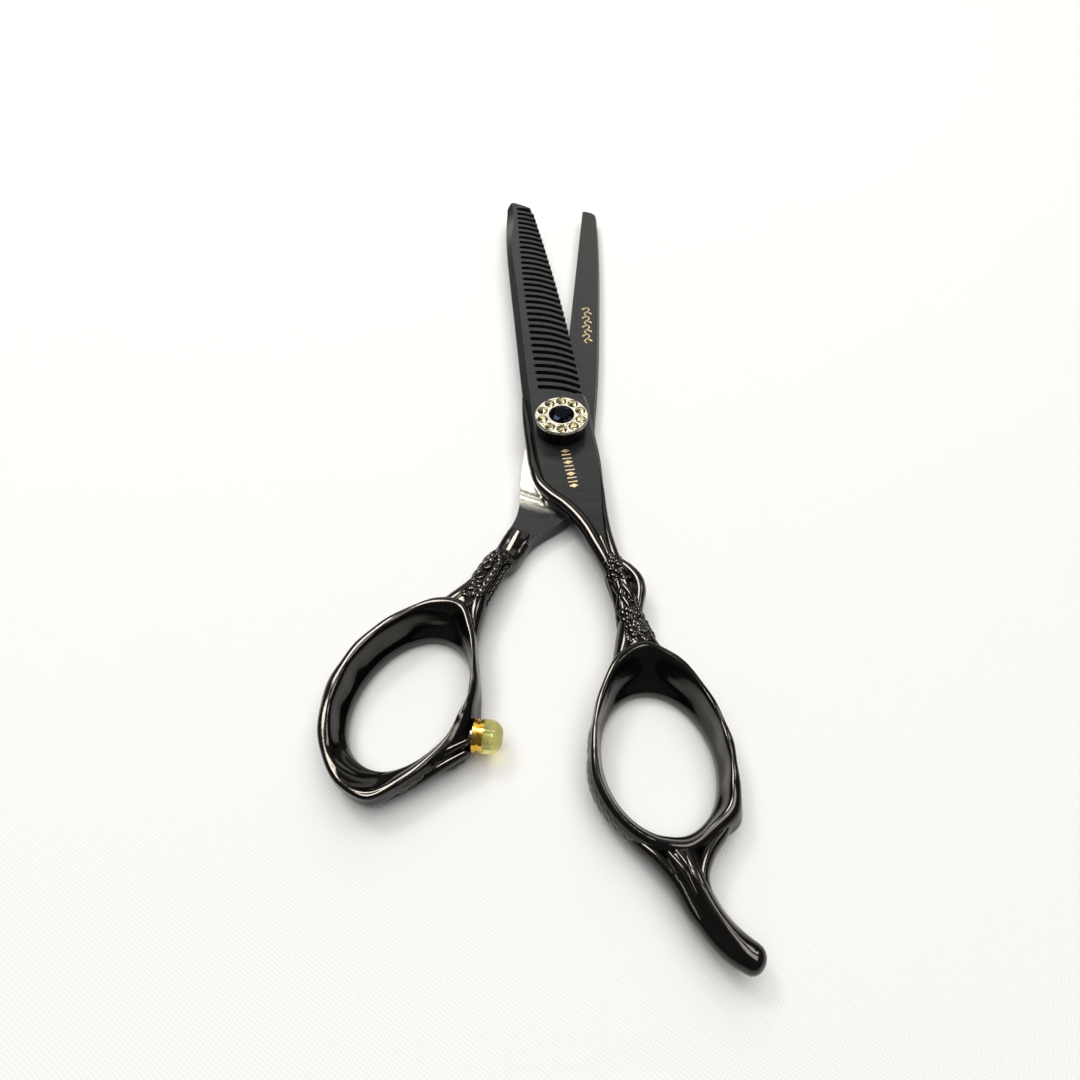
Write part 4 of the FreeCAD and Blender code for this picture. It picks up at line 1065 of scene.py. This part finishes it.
# ---- stage
# name, place and size in metres, radiance, colour, and whether glossy and whether matt surfaces see it
LAMPS = (
    ("overhead_softbox", (0.0, 0.15, 1.2), (1.6, 1.6), 2.55, (1.0, 0.995, 0.98), False, True),
    ("far_panel", (0.06, 0.53, 0.42), (0.62, 0.36), 1.1, (1.0, 0.97, 0.9), True, True),
    ("crest_panel", (-0.20, 0.17, 0.52), (0.25, 0.28), 32.0, (1.0, 0.97, 0.92), True, False),
    ("right_panel", (0.34, 0.12, 0.42), (0.1, 0.2), 11.0, (1.0, 0.98, 0.95), True, False),
    ("top_panel", (0.2, -0.11, 0.5), (0.18, 0.26), 9.0, (1.0, 0.98, 0.95), True, False),
    ("small_key", (-0.24, 0.22, 0.52), (0.1, 0.1), 16.0, (1.0, 0.98, 0.95), False, True),
)
FLOOR_HALF = 1500.0          # millimetres
FLOOR_LEVEL = -0.02
BACKDROP = (0.92, 0.95, 1.0, 1.0)
BACKDROP_STRENGTH = 0.12
CAMERA_SPOT = (-3.9755 * MM, -97.451 * MM, 103.204 * MM)
CAMERA_TILT = 36.3045        # degrees from straight down
SENSOR, FOCAL = 36.0, 24.0   # millimetres
CLIP = (0.005, 20.0)         # metres


class ShearsStage(Operator):
    """Make the floor, the lights, the surroundings and the camera"""

    bl_idname = "shears.stage"
    bl_label = "Stage"

    def execute(self, context):
        scene = context.scene
        square = (-1, -1), (1, -1), (1, 1), (-1, 1)
        corners = [(x * FLOOR_HALF, y * FLOOR_HALF, FLOOR_LEVEL) for x, y in square]
        floor = mesh_object("floor", corners, [(0, 1, 2, 3)], "plain_white_cotton")
        for name, spot, (wide, deep), radiance, tint, mirrored, lighting in LAMPS:
            lamp = bpy.data.lights.new(name, "AREA")
            lamp.shape = "RECTANGLE"
            lamp.size, lamp.size_y = wide, deep
            lamp.energy = radiance * math.pi * wide * deep
            lamp.color = tint
            holder = place(name, lamp)
            holder.location = spot
            holder.rotation_euler = (-holder.location).to_track_quat("-Z", "Y").to_euler()
            holder.visible_glossy, holder.visible_diffuse = mirrored, lighting
        world = bpy.data.worlds.new("studio")
        scene.world = world
        world.use_nodes = True
        backdrop = world.node_tree.nodes["Background"]
        backdrop.inputs["Color"].default_value = BACKDROP
        backdrop.inputs["Strength"].default_value = BACKDROP_STRENGTH
        lens = bpy.data.cameras.new("camera")
        lens.sensor_width, lens.lens = SENSOR, FOCAL
        lens.clip_start, lens.clip_end = CLIP
        camera = place("camera", lens)
        camera.location = CAMERA_SPOT
        camera.rotation_euler = (math.radians(CAMERA_TILT), 0, 0)
        scene.camera = camera
        scene.view_settings.view_transform = "Standard"
        return {"FINISHED"}


STEPS = (ShearsFinishes, ShearsRings, ShearsFingerShank, ShearsThumbShank, ShearsMarks, ShearsSetting,
         ShearsStage)


class ShearsPanel(Panel):
    """Sidebar panel with the steps and what they can change"""

    bl_idname = "VIEW3D_PT_shears"
    bl_label = "Thinning Shears"
    bl_space_type = "VIEW_3D"
    bl_region_type = "UI"
    bl_category = "Shears"

    def draw(self, context):
        for step in STEPS:
            self.layout.operator(step.bl_idname)
        for group in (context.scene.shears_sizes, context.scene.shears_colours):
            box = self.layout.box()
            for key in group.__annotations__:
                box.prop(group, key)


CLASSES = (ShearsSizes, ShearsColours, *STEPS, ShearsPanel)


def register():
    """Adds the classes and the scene's settings."""
    for each in CLASSES:
        bpy.utils.register_class(each)
    bpy.types.Scene.shears_sizes = PointerProperty(type=ShearsSizes)
    bpy.types.Scene.shears_colours = PointerProperty(type=ShearsColours)


def unregister():
    """Takes them away again."""
    del bpy.types.Scene.shears_sizes
    del bpy.types.Scene.shears_colours
    for each in reversed(CLASSES):
        bpy.utils.unregister_class(each)


def main():
    """Builds everything in order."""
    register()
    bpy.ops.shears.finishes()
    bpy.ops.shears.rings()
    bpy.ops.shears.finger_shank()
    bpy.ops.shears.thumb_shank()
    bpy.ops.shears.marks()
    bpy.ops.shears.setting()
    bpy.ops.shears.stage()


if __name__ == "__main__":
    main()
